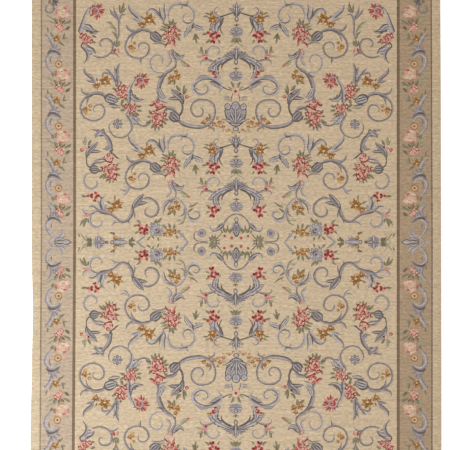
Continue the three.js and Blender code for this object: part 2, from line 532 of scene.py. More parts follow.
def standing_plant():
    """The grey plant between the large scroll and the rose blossom, with its olive leaves."""
    shapes = each(scroll,
        ([(496, 842), (488, 866), (490, 892), (488, 916), (494, 938), (506, 956), (513, 986)],
            [6, 8, 8, 9, 10, 8, 1], 1),
        ([(490, 918), (484, 938), (474, 948), (460, 944)], [6, 9, 8, 2], -1),
        ([(494, 924), (508, 942), (520, 954), (528, 970)], [5, 10, 9, 2], 1))
    shapes += leaves(((484, 950, 470, 1001, 12, 0.1), (484, 952, 487, 990, 9, 0),
        (484, 952, 458, 976, 8, 0.1)))
    shapes += each(scroll,
        ([(497, 862), (506, 886), (524, 908), (548, 919)], [5, 9, 9, 1], -1, GREEN),
        ([(498, 868), (512, 888), (534, 898)], [4, 7, 1], -1, OLIVE),
        ([(498, 846), (506, 864), (522, 879)], [6, 9, 1], -1, ("slate", "olive", "grey")))
    shapes += leaves(((496, 812, 488, 840, 12, 0.1), (497, 812, 498, 846, 10, 0),
        (498, 812, 509, 838, 12, -0.1)))
    shapes += leaf((494, 806), (490, 782), 11, 0, PINK)
    shapes += leaf((504, 806), (512, 786), 12, 0, RED)
    return shapes + each(scroll,
        ([(594, 774), (568, 768), (544, 773), (524, 788), (516, 808), (518, 828), (530, 842), (546, 845),
            (560, 840), (568, 827), (564, 814), (555, 811)], [6, 8, 8, 8, 8, 9, 9, 9, 9, 8, 6, 3], -1),
        ([(526, 784), (508, 784), (496, 778), (489, 766)], [6, 8, 7, 1], 1))


def corner_blossom():
    """The crimson spiral blossom on its grey arm, and the roses and stem below it."""
    shapes = leaves(((646, 872, 662, 880, 9, 0), (624, 818, 606, 806, 11, 0), (602, 858, 582, 850, 11, 0),
        (604, 834, 584, 828, 10, 0)))
    shapes += acanthus([(642, 900), (622, 892), (600, 876), (571, 874)], [14, 34, 22, 1], 4, 1, PALE)
    shapes += ribbon("slate", [(628, 884), (604, 872), (586, 876), (568, 876)], [5, 6, 5, 1])
    shapes += scroll([(650, 876), (643, 896), (637, 920), (629, 946), (618, 966), (604, 980)],
        [22, 21, 16, 12, 9, 4], 1, PALE)
    shapes += spiral_blossom((584, 960))
    for x, y, radius, turn in ((636, 852, 21, 15), (614, 840, 19, 200), (630, 832, 15, 90)):
        shapes += rose((x, y), radius, turn)
    shapes += scroll([(588, 786), (600, 802), (618, 812), (632, 826)], [8, 12, 10, 4], -1)
    shapes += acanthus([(600, 792), (614, 794), (628, 806)], [26, 36, 14], 3, -1, PALE)
    shapes += ribbon("slate", [(640, 828), (647, 814), (630, 796), (622, 776), (626, 756), (636, 742)],
        [5, 7, 6, 6, 6, 2])
    return shapes + ribbon("lavender", [(634, 820), (638, 812), (622, 796), (615, 776), (620, 752)],
        [4, 5, 9, 8, 2])


# The petals of a spiral blossom: the way each points in degrees, and the reach of its foot and of its tip
SPIRAL_PETALS = (
    (20, 20, 35), (48, 17, 33), (72, 17, 37), (94, 17, 35), (116, 17, 40), (138, 18, 37), (160, 17, 40),
    (184, 16, 34), (208, 16, 37), (232, 17, 34), (258, 17, 38), (284, 18, 34), (312, 19, 37),
)


def spiral_blossom(centre):
    """A turned blossom: crimson and pink petals nearly all round the pale curl that its arm ends in."""
    shapes = spot("crimson", centre, 19, 1.0, 0, sides=14) + spot("rose", polar(centre, 3, 250), 14, sides=11)
    for index, (angle, foot, tip) in enumerate(SPIRAL_PETALS):
        yarns = (("crimson", "rose"), ("wine", "rose"), ("rose", "blush"))[index % 3]
        shapes += leaf(polar(centre, foot - 4, angle), polar(centre, tip, angle + 8), 11, 0.1, yarns)
    shapes += crescent("pink", centre, 14, 200, 110, 5)
    winding = ((30, -18), (23, 24), (17, 72), (13, 128), (10, 190), (8, 250), (5, 320))
    curl = [polar(centre, reach, angle) for reach, angle in winding]
    return shapes + scroll(curl, [7, 8, 8, 7, 6, 5, 2], 1, PALE) + spot("wine", centre, 3, sides=6)


def field_shapes():
    """The groups of the field's upper part, of which those near the middle line come twice."""
    shapes = []
    for along in (0.0, -FIELD_REPEAT):
        for group in (axis_column, low_spray, hanging_spray, top_curl, bouquet_stem, rose_bouquet,
                ochre_and_leaves, large_scroll):
            shapes += moved(group(), 0.0, along)
    for group in (arm_buds, bouquet_sweep, standing_plant, corner_blossom):
        shapes += group()
    return shapes


def cartouche_group():
    """The shell cartouche on the middle line with its ochre garland, and the pink flower above it."""
    shapes = leaves(((8, 640, 22, 670, 12, 0.1),))
    shapes += leaves(((8, 638, 34, 650, 9, -0.1), (5, 644, 9, 664, 6, 0)), OLIVE)
    shapes += spot("pink", (0, 628), 18, sides=12)
    for angle in (-72, -24, 24, 72):
        shapes += spot("blush", polar((0, 628), 12, angle), 8, 0.7, angle + 90, sides=8)
    shapes += spot("crimson", (0, 628), 6, sides=8)
    shapes += leaves(((20, 600, 52, 604, 8, 0.05), (20, 592, 50, 597, 7, -0.05)), PALE)
    shapes += ribbon("slate", [(12, 616), (17, 602), (18, 586)], [3, 5, 2])
    # body of the shell, its side and top lobes, its ribs and its foot
    shapes += [("slate", [(0, 480), (14, 483), (27, 492), (38, 507), (44, 526), (47, 546), (44, 560),
        (30, 568), (0, 570)])]
    shapes += [("silver", [(0, 485), (13, 488), (24, 497), (33, 511), (39, 528), (42, 546), (39, 556),
        (28, 563), (0, 565)])]
    shapes += [("grey", [(0, 489), (12, 492), (22, 500), (31, 513), (36, 530), (38, 546), (28, 558),
        (0, 560)])]
    shapes += [("lavender", [(0, 492), (10, 495), (19, 503), (28, 515), (33, 531), (35, 545), (26, 555),
        (0, 557)])]
    for yarn, radius in (("slate", 15), ("silver", 11.5), ("lavender", 6)):
        shapes += spot(yarn, (33, 564), radius, 0.9, 60, sides=12)
    for yarn, radius in (("slate", 20), ("silver", 16), ("lavender", 10)):
        shapes += spot(yarn, (0, 567), radius, 0.9, 90, sides=12)
    for angle in (20, 43, 66, 90):
        shapes += blades(((*polar((0, 494), 3, angle), *polar((0, 494), 50 + angle / 5, angle), 14, 0.0),))
    shapes += spot("slate", (0, 471), 13, 0.75, sides=10) + spot("silver", (0, 471), 9, 0.7, sides=9)
    for x, y, radius, turn in ((67, 499, 13, 0), (52, 481, 11, 40), (92, 492, 13, 20), (28, 467, 9, 60),
            (76, 516, 9, 10)):
        shapes += flower((x, y), radius, 5, ("umber", "ochre", "cream"), "cream", turn)
    for x, y, radius in ((13, 458, 6), (39, 464, 5), (54, 466, 5), (50, 499, 6), (53, 512, 5), (78, 484, 6),
            (106, 481, 6), (66, 480, 5), (100, 503, 5), (114, 474, 5)):
        shapes += berry((x, y), radius, ("ochre", "ochre", "cream"))
    return shapes


def lower_large_curl():
    """The feathery grey curl under the second palmette."""
    shapes = ribbon("slate", [(16, 632), (36, 636), (52, 644), (62, 652)], [4, 5, 6, 5])
    shapes += scroll([(54, 640), (66, 633), (70, 618)], [5, 8, 2], 1, PALE)
    shapes += acanthus([(106, 664), (88, 656), (72, 646), (58, 636)], [6, 16, 14, 1], 3, 1, PALE, False)
    shapes += scroll([(56, 648), (74, 668), (100, 680), (130, 682), (154, 674), (172, 660), (178, 640),
        (168, 622), (148, 613), (126, 617), (114, 632), (117, 648), (130, 653), (141, 645)],
        [8, 14, 16, 13, 12, 14, 14, 14, 13, 11, 9, 8, 7, 3], 1, PALE)
    shapes += acanthus([(96, 678), (122, 688), (148, 688), (170, 672)], [4, 12, 12, 1], 4, 1, PALE, False)
    shapes += ribbon("slate", [(64, 652), (86, 666), (118, 670)], [5, 5, 1])
    return shapes + scroll([(176, 644), (164, 636), (148, 634)], [4, 8, 1], 1, PALE)


def middle_scroll():
    """The open scroll that runs out from the lower bell flower towards the middle line."""
    shapes = each(scroll,
        ([(118, 486), (104, 478), (92, 472), (90, 457)], [5, 9, 9, 2], -1),
        ([(242, 512), (226, 496), (204, 486), (176, 480), (146, 478), (120, 486), (100, 502), (89, 526),
            (87, 552), (95, 575), (114, 588), (140, 592), (164, 588), (181, 572), (185, 548), (174, 529),
            (157, 523), (142, 529), (136, 543), (142, 556), (151, 557)],
            [8, 15, 17, 17, 15, 12, 10, 9, 9, 9, 8, 8, 8, 9, 9, 9, 8, 8, 7, 6, 3], -1))
    shapes += ribbon("silver", [(220, 494), (196, 485), (170, 481), (144, 480)], [1, 4, 4, 1])
    shapes += scroll([(110, 502), (104, 516), (108, 528), (116, 536)], [5, 9, 7, 1], 1)
    shapes += flower((118, 512), 13, 5, OCHRE, "gold", 0)
    shapes += leaf((124, 492), (150, 496), 10, 0.1, OCHRE)
    return shapes + berry((134, 500), 8)


def bell_and_bud():
    """The bell flower with its stem, the striped bud and the arm to the lower roses."""
    shapes = each(ribbon,
        ("slate", [(222, 580), (221, 560), (227, 538), (240, 520), (243, 512)], [7, 8, 8, 8, 5]),
        ("lavender", [(226, 572), (225, 556), (231, 540)], [2, 4, 1]))
    shapes += scroll([(248, 544), (262, 556), (280, 560), (298, 564)], [8, 16, 14, 4], 1)
    shapes += tulip_bud((240, 506), (270, 540), 42, GREY, 5)
    shapes += ribbon("slate", [(240, 508), (257, 504), (274, 512), (281, 526)], [5, 7, 6, 2])
    shapes += trumpet((222, 577), (227, 600), (270, 638), (286, 596), 27)
    shapes += leaves(((216, 612, 214, 656, 14, 0), (217, 612, 203, 640, 11, 0),
        (228, 630, 248, 656, 14, -0.1)))
    shapes += berry((204, 605), 8, RED)
    return shapes + spot("wine", (231, 618), 5) + spot("pink", (192, 606), 4)


def low_roses():
    """The broad cluster of roses below the stem, with green leaves round it."""
    shapes = leaves(((300, 528, 284, 540, 14, 0), (306, 516, 278, 508, 14, 0), (312, 506, 286, 490, 14, 0),
        (318, 500, 302, 474, 14, 0), (326, 496, 320, 462, 13, 0), (334, 494, 338, 460, 13, 0),
        (340, 496, 354, 470, 12, 0), (352, 510, 370, 492, 12, 0), (350, 524, 372, 522, 11, 0),
        (350, 530, 362, 552, 12, 0), (300, 545, 280, 558, 12, 0)))
    shapes += rose((322, 574), 21, 200, PALE_ROSE, ROSE_STROKES[:7])
    shapes += leaf((338, 590), (350, 566), 12, 0.1, PINK)
    shapes += each(ribbon,
        ("crimson", [(294, 566), (312, 560), (326, 553), (336, 538)], [8, 12, 11, 3]),
        ("pink", [(300, 567), (316, 561), (328, 553)], [1, 4, 1]),
        ("crimson", [(334, 580), (348, 570), (360, 567)], [5, 8, 2]))
    for x, y, radius, turn in ((307, 530, 20, 150), (340, 530, 20, 50), (326, 503, 25, 190)):
        shapes += rose((x, y), radius, turn)
    shapes += leaf((352, 500), (376, 484), 8, 0.3, GREY)
    return shapes + scroll([(352, 500), (368, 486), (390, 483), (408, 492)], [4, 6, 7, 6], -1)


def second_plant():
    """Standing leaves, ochre flowers and the grey leaf of the outer column."""
    shapes = each(scroll,
        ([(494, 652), (492, 676), (496, 700), (494, 722), (486, 747)], [6, 15, 14, 12, 1], 1),
        ([(496, 656), (504, 678), (502, 704), (511, 733)], [6, 13, 12, 1], -1),
        ([(504, 664), (514, 682), (519, 700)], [6, 12, 6], -1))
    shapes += each(ribbon,
        ("silver", [(498, 664), (503, 684), (500, 700)], [1, 6, 2]),
        ("slate", [(491, 662), (500, 672), (506, 684)], [1, 4, 1]))
    shapes += each(scroll,
        ([(518, 698), (530, 712), (546, 721)], [5, 9, 1], 1),
        ([(519, 694), (536, 702), (552, 704), (558, 692), (554, 680)], [4, 8, 9, 8, 2], 1),
        ([(590, 662), (600, 680), (618, 694), (630, 706), (634, 728)], [8, 14, 14, 11, 1], 1),
        ([(592, 664), (608, 668), (628, 672)], [6, 11, 1], 1))
    shapes += leaf((578, 668), (584, 684), 7, 0.0, ("slate", "pine", "olive"))
    return shapes + each(flower,
        ((546, 670), 28, 7, OCHRE, "cream", 8),
        ((582, 649), 22, 6, OCHRE, "blush", 20, 0.6))


def inner_blossom():
    """The second spiral blossom and its broad leafy arm, pointing towards the outer scroll."""
    shapes = leaves(((424, 590, 420, 574, 7, 0),), PALE)
    shapes += acanthus([(444, 622), (430, 606), (412, 594), (382, 595)], [14, 26, 18, 1], 4, -1, PALE)
    shapes += ribbon("slate", [(436, 636), (430, 612), (414, 598), (396, 592), (380, 595)], [3, 5, 5, 4, 1])
    shapes += scroll([(447, 584), (449, 606), (446, 630), (438, 652), (428, 668), (414, 682)],
        [18, 21, 17, 12, 9, 4], -1, PALE)
    return shapes + spiral_blossom((396, 672))


def upper_roses():
    """Two clusters of roses between the blossom arm and the outer scroll, with a striped bud."""
    shapes = leaves(((464, 600, 450, 586, 11, 0), (470, 598, 480, 568, 12, 0), (484, 598, 508, 592, 12, 0),
        (496, 630, 518, 642, 11, 0), (478, 652, 482, 672, 10, 0), (490, 644, 506, 660, 10, 0),
        (460, 560, 484, 574, 12, 0), (460, 552, 484, 546, 12, 0), (412, 560, 392, 568, 11, 0),
        (422, 538, 402, 526, 12, 0), (438, 534, 446, 514, 11, 0), (414, 548, 390, 546, 10, 0)))
    for x, y, radius, turn in ((489, 624, 20, 40), (472, 638, 22, 0), (470, 612, 21, 200), (448, 561, 20, 0),
            (424, 562, 16, 120), (434, 544, 18, 200)):
        shapes += rose((x, y), radius, turn)
    shapes += ribbon("slate", [(484, 566), (504, 570), (524, 572), (536, 566)], [3, 6, 6, 1])
    shapes += scroll([(484, 560), (506, 560), (530, 566)], [6, 11, 1], 1, PALE)
    shapes += tulip_bud((546, 602), (496, 586), 41, PALE, 5)
    return shapes + ribbon("slate", [(506, 606), (524, 614), (542, 608), (546, 596)], [3, 7, 8, 5])


def outer_scroll():
    """The large scroll beside the guard line, with its hook and ochre flowers."""
    shapes = each(scroll,
        ([(606, 616), (628, 617), (643, 627), (647, 644)], [8, 11, 9, 1], 1),
        ([(590, 616), (606, 608), (620, 594), (624, 570)], [4, 8, 8, 2], 1),
        ([(540, 600), (556, 613), (580, 619), (606, 613), (632, 598), (647, 576), (650, 550), (640, 524),
            (620, 508), (592, 502), (566, 511), (550, 530), (548, 552), (560, 569), (578, 571), (592, 563),
            (596, 548), (588, 540)], [8, 13, 15, 13, 10, 9, 9, 9, 8, 8, 8, 8, 8, 8, 7, 7, 6, 3], 1))
    shapes += each(berry, ((609, 566), 8, ("umber", "gold", "gold")), ((608, 548), 5))
    return shapes + each(flower,
        ((630, 550), 17, 6, OCHRE, "blush", 0),
        ((627, 535), 11, 5, GOLD, "cream", 0))


def ring_scroll():
    """The round scroll with the grey daisy in it, hung from an acanthus sheath."""
    shapes = acanthus([(404, 492), (416, 500), (428, 514), (440, 526)], [8, 30, 40, 20], 4, 1, PALE)
    shapes += each(scroll,
        ([(394, 498), (404, 512), (422, 520), (440, 526)], [2, 8, 10, 6], -1, PALE),
        ([(432, 462), (432, 480), (436, 500), (446, 520)], [2, 12, 16, 8], 1, PALE),
        ([(448, 546), (458, 532), (450, 516), (440, 502), (435, 482), (440, 460), (456, 442), (482, 433),
            (506, 438), (523, 455), (530, 476), (524, 494), (510, 503)],
            [4, 8, 9, 8, 7, 7, 6, 6, 6, 6, 6, 5, 1], 1))
    return shapes + grey_blossom((494, 490), 21, 8)


def bird_leaf_arm():
    """The tall grey leaf arm that leans out over the lower rose cluster."""
    shapes = scroll([(556, 452), (570, 462), (586, 464), (610, 468)], [6, 9, 7, 1], 1)
    shapes += acanthus([(550, 450), (566, 454), (580, 448), (588, 432)], [22, 36, 24, 2], 3, 1, GREY)
    shapes += ribbon("silver", [(560, 456), (570, 450), (578, 440)], [3, 8, 2])
    shapes += each(scroll,
        ([(556, 478), (552, 462), (550, 446)], [1, 6, 4], 1),
        ([(532, 402), (544, 388), (562, 386)], [8, 10, 1], 1),
        ([(530, 400), (536, 386), (546, 378)], [8, 9, 1], 1),
        ([(526, 362), (522, 384), (526, 408), (536, 430), (554, 450)], [10, 14, 18, 17, 10], -1))
    return shapes + each(ribbon,
        ("slate", [(514, 384), (522, 376), (528, 380)], [3, 9, 3]),
        ("slate", [(524, 374), (510, 362), (498, 350), (484, 344)], [5, 6, 7, 1]),
        ("lavender", [(526, 394), (530, 412), (538, 426)], [2, 5, 1]))


def outer_bell():
    """The small bell flower by the guard line with its red spots and green leaves."""
    shapes = ribbon("slate", [(624, 356), (625, 338), (621, 318), (606, 308)], [6, 5, 6, 6])
    shapes += trumpet((624, 356), (616, 376), (578, 414), (560, 374), 23)
    shapes += leaf((618, 400), (604, 426), 12, 0)
    shapes += leaves(((628, 402, 630, 440, 14, 0), (632, 402, 642, 426, 8, 0)), OLIVE)
    shapes += each(spot, ("wine", (615, 394), 5), ("pink", (630, 390), 7))
    return shapes + berry((644, 383), 8, RED)


def lower_outer_roses():
    """The outer cluster of roses below the leaf arm, with a grey bud and a C-scroll beside it."""
    shapes = []
    for tip in ((492, 312), (498, 252), (514, 244), (530, 242), (546, 246), (560, 262), (568, 274),
            (560, 316)):
        shapes += leaf((526, 284), tip, 13, 0.0, GREEN)
    shapes += leaf((552, 308), (572, 312), 9, 0, AUTUMN)
    shapes += leaf((500, 318), (486, 330), 10, 0, OLIVE)
    shapes += rose((532, 348), 22, 200, PALE_ROSE, ROSE_STROKES[:7])
    shapes += leaves(((508, 300, 483, 304, 11, 0), (506, 284, 482, 274, 11, 0), (556, 302, 576, 290, 11, 0),
        (552, 284, 574, 262, 11, 0)))
    shapes += each(ribbon,
        ("crimson", [(518, 330), (536, 333), (550, 342), (556, 354)], [5, 7, 7, 2]),
        ("blush", [(524, 336), (538, 340), (548, 350)], [2, 6, 2]),
        ("wine", [(520, 326), (532, 320), (540, 310)], [2, 6, 2]))
    shapes += each(rose, ((544, 302), 18, 330), ((510, 308), 18, 100), ((522, 278), 27, 190))
    shapes += each(scroll,
        ([(548, 336), (570, 330), (590, 330), (606, 314)], [4, 9, 11, 8], 1),
        ([(550, 346), (572, 344), (596, 336)], [6, 9, 1], 1))
    shapes += tulip_bud((608, 302), (574, 300), 36, GREY, 5)
    shapes += ribbon("slate", [(574, 292), (590, 285), (604, 290), (610, 304)], [2, 6, 7, 5])
    shapes += scroll([(608, 288), (624, 282), (634, 266), (634, 246), (622, 228), (602, 221), (584, 232),
        (580, 248), (590, 257)], [3, 8, 9, 9, 9, 9, 9, 8, 3], 1, ("grey", "lavender", "lavender"))
    return shapes


def outer_low_spray():
    """Red flowers, leaf fork, ochre flowers and the waving stem that ends by the guard line."""
    shapes = each(scroll,
        ([(446, 232), (452, 220), (466, 214), (486, 220)], [3, 8, 7, 1], 1, PALE),
        ([(448, 226), (456, 210), (476, 193)], [6, 9, 1], 1, PALE))
    for x, y, turn, size in ((583, 196, 60, 1.3), (610, 192, 0, 1.3), (590, 176, 100, 0.9)):
        shapes += red_blossom((x, y), turn, size)
    shapes += leaves(((622, 188, 648, 190, 11, 0.1), (570, 190, 556, 180, 9, 0.1), (506, 176, 508, 196, 9, 0),
        (524, 160, 542, 171, 9, 0)))
    # waving stem
    shapes += each(scroll,
        ([(428, 136), (424, 116), (422, 96)], [6, 9, 1], 1),
        ([(446, 96), (450, 86), (446, 76)], [8, 8, 1], 1),
        ([(484, 84), (504, 86), (514, 80), (522, 68)], [5, 10, 9, 1], 1, PALE),
        ([(552, 126), (558, 150), (562, 172), (544, 196)], [12, 16, 13, 1], 1, PALE),
        ([(560, 128), (572, 146), (574, 160), (580, 176)], [10, 18, 13, 1], -1, PALE))
    shapes += leaf((548, 132), (544, 158), 10, 0.1, PALE)
    shapes += each(scroll,
        ([(574, 134), (586, 144), (602, 150), (616, 146)], [5, 8, 8, 1], 1),
        ([(570, 132), (590, 128), (608, 119), (628, 122), (638, 132), (638, 146)], [5, 11, 13, 12, 9, 1], 1,
            PALE),
        ([(432, 146), (434, 124), (442, 104), (456, 90), (474, 85), (492, 95), (510, 110), (534, 120),
            (558, 126), (582, 134)], [10, 15, 13, 11, 10, 10, 10, 16, 18, 6], 1))
    shapes += each(flower,
        ((498, 156), 29, 7, OCHRE, "cream", 8),
        ((522, 136), 22, 6, OCHRE, "blush", 20, 0.65))
    # bell flower at the head of the stem, and the curl behind it
    shapes += scroll([(384, 181), (364, 183), (344, 174), (328, 158), (323, 138), (330, 119), (346, 108),
        (364, 108), (377, 119), (378, 134), (369, 145)], [6, 10, 10, 10, 9, 10, 10, 9, 9, 7, 2], 1)
    shapes += trumpet((431, 144), (420, 158), (386, 200), (366, 165), 26)
    # C-scroll and pink flower
    shapes += scroll([(604, 116), (611, 98), (609, 80), (598, 66), (580, 61), (564, 68), (558, 82),
        (564, 93)], [5, 10, 11, 11, 11, 10, 8, 3], 1, MIST)
    shapes += flower((618, 112), 12, 5, PINK, "cream", 20) + leaves(((624, 110, 642, 108, 9, 0.1),), PINK)
    return shapes + leaves(((620, 98, 615, 78, 9, 0), (624, 100, 637, 60, 14, 0.1),
        (630, 98, 652, 66, 10, 0.1)))


def lower_middle():
    """What lies between the lower stem and the cross middle line, near the long middle line."""
    # leaf at the foot of the lower bouquet's stem, its curl and its olive leaves
    shapes = each(scroll,
        ([(253, 180), (280, 170), (300, 149), (303, 112)], [6, 14, 15, 1], 1, PALE),
        ([(258, 176), (268, 160), (284, 142)], [4, 9, 1], -1, PALE),
        ([(256, 182), (272, 177), (294, 166)], [4, 8, 1], 1),
        ([(252, 184), (232, 172), (216, 150), (206, 124), (200, 98)], [6, 9, 9, 9, 8], 1, MIST),
        ([(216, 142), (216, 122), (225, 110), (240, 106)], [4, 8, 7, 1], 1),
        ([(210, 126), (214, 100), (224, 80), (244, 70)], [4, 8, 8, 1], 1, GREEN))
    shapes += leaves(((200, 128, 178, 142, 9, 0.1), (200, 122, 188, 136, 8, 0.1),
        (198, 144, 158, 168, 8, 0.1)))
    shapes += leaves(((222, 86, 252, 86, 8, 0.2), (188, 148, 194, 162, 7, 0.1)), OLIVE)
    shapes += scroll([(202, 116), (196, 98), (176, 90), (160, 96), (150, 110), (156, 124), (170, 128),
        (182, 119)], [8, 16, 17, 15, 10, 8, 7, 2], 1, PALE)
    # red buds under the lower feathered arm
    for x, y, turn, size in ((84, 136, 60, 1.4), (106, 140, 20, 1.2), (100, 116, 100, 1.4)):
        shapes += red_blossom((x, y), turn, size)
    shapes += leaves(((110, 146, 128, 152, 9, 0.1), (110, 126, 128, 120, 9, 0.1)))
    # central palmette and its arm
    shapes += each(scroll,
        ([(0, 116), (20, 111), (36, 100), (46, 86), (54, 76)], [5, 6, 6, 6, 6], -1),
        ([(50, 80), (66, 64), (80, 52), (96, 48), (107, 57), (110, 72)], [6, 20, 17, 12, 9, 1], 1, PALE))
    shapes += ribbon("slate", [(56, 76), (70, 67), (84, 54)], [2, 6, 2])
    shapes += scroll([(2, 80), (14, 70), (20, 56), (30, 48), (40, 50)], [7, 9, 8, 7, 1], 1, PALE)
    shapes += spot("slate", (0, 51), 14, 2.2, 0, sides=16) + spot("silver", (0, 53), 9.5, 2.6, 0, sides=14)
    shapes += spot("slate", (0, 45), 4, 3.2, 0, sides=9) + spot("lavender", (0, 45), 2, 4.0, 0, sides=7)
    shapes += ribbon("lavender", [(9, 74), (12, 58), (10, 40)], [1, 4, 1])
    shapes += spot("slate", (0, 92), 9, 1.4, 0, sides=12) + spot("silver", (0, 93), 5.5, 1.6, 0, sides=9)
    shapes += blades(((3, 70, 18, 34, 9, -0.12), (5, 64, 21, 47, 8, -0.15)), "lavender")
    shapes += leaves(((30, 38, 36, 74, 8, -0.1), (30, 40, 24, 60, 9, 0.1)))
    shapes += leaves(((44, 38, 54, 64, 12, -0.1), (34, 46, 22, 34, 8, 0)))
    shapes += leaves(((26, 40, 14, 58, 8, 0.1), (40, 38, 44, 56, 8, 0), (56, 36, 64, 52, 8, -0.1)))
    for x, y, radius in ((20, 17, 7), (49, 25, 6)):
        shapes += berry((x, y), radius, ("rose", "crimson", "rose"))
    shapes += leaves(((84, 4, 66, 12, 8, 0.12), (90, 4, 90, 33, 9, 0.1), (92, 4, 104, 31, 12, 0.06),
        (92, 2, 117, 22, 12, 0.04), (94, 1, 116, 9, 8, 0)))
    shapes += ribbon("slate", [(85, 0), (83, 12), (72, 24), (60, 40)], [5, 4, 4, 1])
    for yarn, radius in (("grey", 18), ("lavender", 15), ("slate", 7), ("grey", 4)):
        shapes += spot(yarn, (144, 37), radius, sides=11)
    shapes += scroll([(164, 46), (174, 36), (176, 22), (168, 8), (150, 3), (118, 3)], [2, 6, 6, 5, 5, 4], 1)
    # ochre flowers among leaves
    shapes += leaves(((262, 52, 256, 78, 10, 0.1), (272, 56, 280, 80, 10, 0), (286, 52, 304, 74, 10, 0),
        (246, 40, 228, 50, 9, 0), (250, 28, 240, 12, 9, 0)))
    for x, y, radius, petals, turn in ((256, 44, 15, 6, 0), (278, 46, 16, 6, 30), (296, 34, 13, 5, 10),
            (272, 30, 11, 5, 50)):
        shapes += flower((x, y), radius, petals, OCHRE, "cream", turn)
    # shell blossom
    shapes += leaves(((334, 78, 308, 102, 13, 0.1), (342, 78, 330, 98, 10, 0.1)))
    for angle, reach in ((190, 30), (152, 33), (120, 27), (88, 30), (54, 36), (18, 28), (-20, 27), (-52, 33),
            (-90, 28), (-130, 34)):
        dark = [polar((333, 52), 8, angle), polar((333, 52), reach, angle)]
        shapes += ribbon("grey", dark, [10, 19, 16, 4])
        light = [polar((333, 52), 10, angle), polar((333, 52), reach - 3, angle)]
        shapes += ribbon("lavender" if angle % 4 else "silver", light, [4, 14, 11, 2])
    shapes += spot("lavender", (333, 54), 15, sides=12) + crescent("slate", (331, 50), 13, 150, 150, 7)
    shapes += crescent("silver", (332, 53), 11, -20, 140, 5) + spot("slate", (331, 52), 5, sides=7)
    shapes += scroll([(238, 40), (222, 22), (203, 0)], [6, 11, 9], 1, PALE)
    shapes += leaf((232, 24), (216, 36), 10, 0.0, PALE)
    # red buds by the shell
    for x, y, turn, size in ((374, 60, 100, 1.35), (400, 62, 60, 1.35), (388, 40, 0, 1.3)):
        shapes += red_blossom((x, y), turn, size)
    shapes += leaves(((396, 74, 418, 95, 9, 0.1), (408, 70, 430, 66, 10, 0.1), (404, 46, 422, 34, 10, 0.1),
        (378, 44, 362, 34, 10, 0.1), (356, 24, 373, 8, 9, 0), (350, 28, 340, 12, 8, 0),
        (326, 22, 322, 4, 8, 0)))
    return shapes + scroll([(380, 26), (398, 14), (414, 0)], [6, 9, 7], 1, PALE)


def cross_middle_row():
    """The small things that sit on the cross middle line, half of each drawn."""
    shapes = leaves(((440, 0, 430, 23, 13, 0), (446, 0, 442, 14, 9, 0), (430, 4, 420, 13, 8, 0),
        (508, 28, 512, 44, 10, 0), (510, 34, 526, 42, 8, 0), (554, 2, 531, 3, 10, 0)), DARK)
    shapes += leaves(((500, 8, 478, 27, 9, 0.1), (506, 8, 462, 19, 12, 0.08), (516, 3, 448, 2, 17, 0)), PALE)
    shapes += spot("slate", (517, 0), 9) + spot("silver", (517, 0), 5.5)
    shapes += berry((504, 18), 9)
    shapes += pointed_blossom((573, 0), ((0, 27), (30, 29), (60, 28), (120, 28), (150, 29), (180, 29),
        (90, 31)), 16)
    shapes += leaves(((603, 2, 612, 20, 12, 0), (606, 3, 626, 20, 12, 0), (604, 2, 628, 7, 12, 0)), DARK)
    shapes += leaves(((652, 20, 660, 40, 6, 0),))
    shapes += ribbon("olive", [(618, 0), (634, 16), (654, 44)], [5, 7, 1])
    return shapes + ribbon("sage", [(612, 42), (626, 25), (642, 0)], [1, 6, 4])


def border_rose():
    """The big pale rose at the head of each repeat of the garland."""
    centre = (722, 955)
    shapes = spot("blush", centre, 23, 0.94, 20, sides=14)
    for angle, reach, radius, yarn in ((5, 19, 14, "blush"), (52, 20, 12, "blush"), (98, 19, 14, "blush"),
            (205, 20, 14, "blush"), (250, 19, 12, "blush"), (305, 18, 14, "blush"), (160, 19, 12, "pink"),
            (75, 17, 11, "cream"), (300, 12, 12, "cream"), (20, 20, 9, "pink"), (215, 18, 8, "cream"),
            (110, 24, 7, "pink")):
        shapes += spot(yarn, polar(centre, reach, angle), radius, 0.75, angle + 90, sides=8)
    for start, sweep, ring, thickness, yarn in ((228, 96, 26, 5, "rose"), (280, 70, 19, 4, "pink"),
            (340, 50, 27, 4, "rose"), (150, 50, 27, 4, "rose"), (40, 60, 14, 3, "rose"),
            (200, 80, 11, 4, "pink"), (120, 50, 18, 3, "sage")):
        shapes += crescent(yarn, centre, ring, start, sweep, thickness)
    shapes += leaf((722, 973), (704, 974), 7, 0.1, ("crimson", "rose", "rose"))
    return shapes + spot("sage", (724, 946), 4, sides=6)


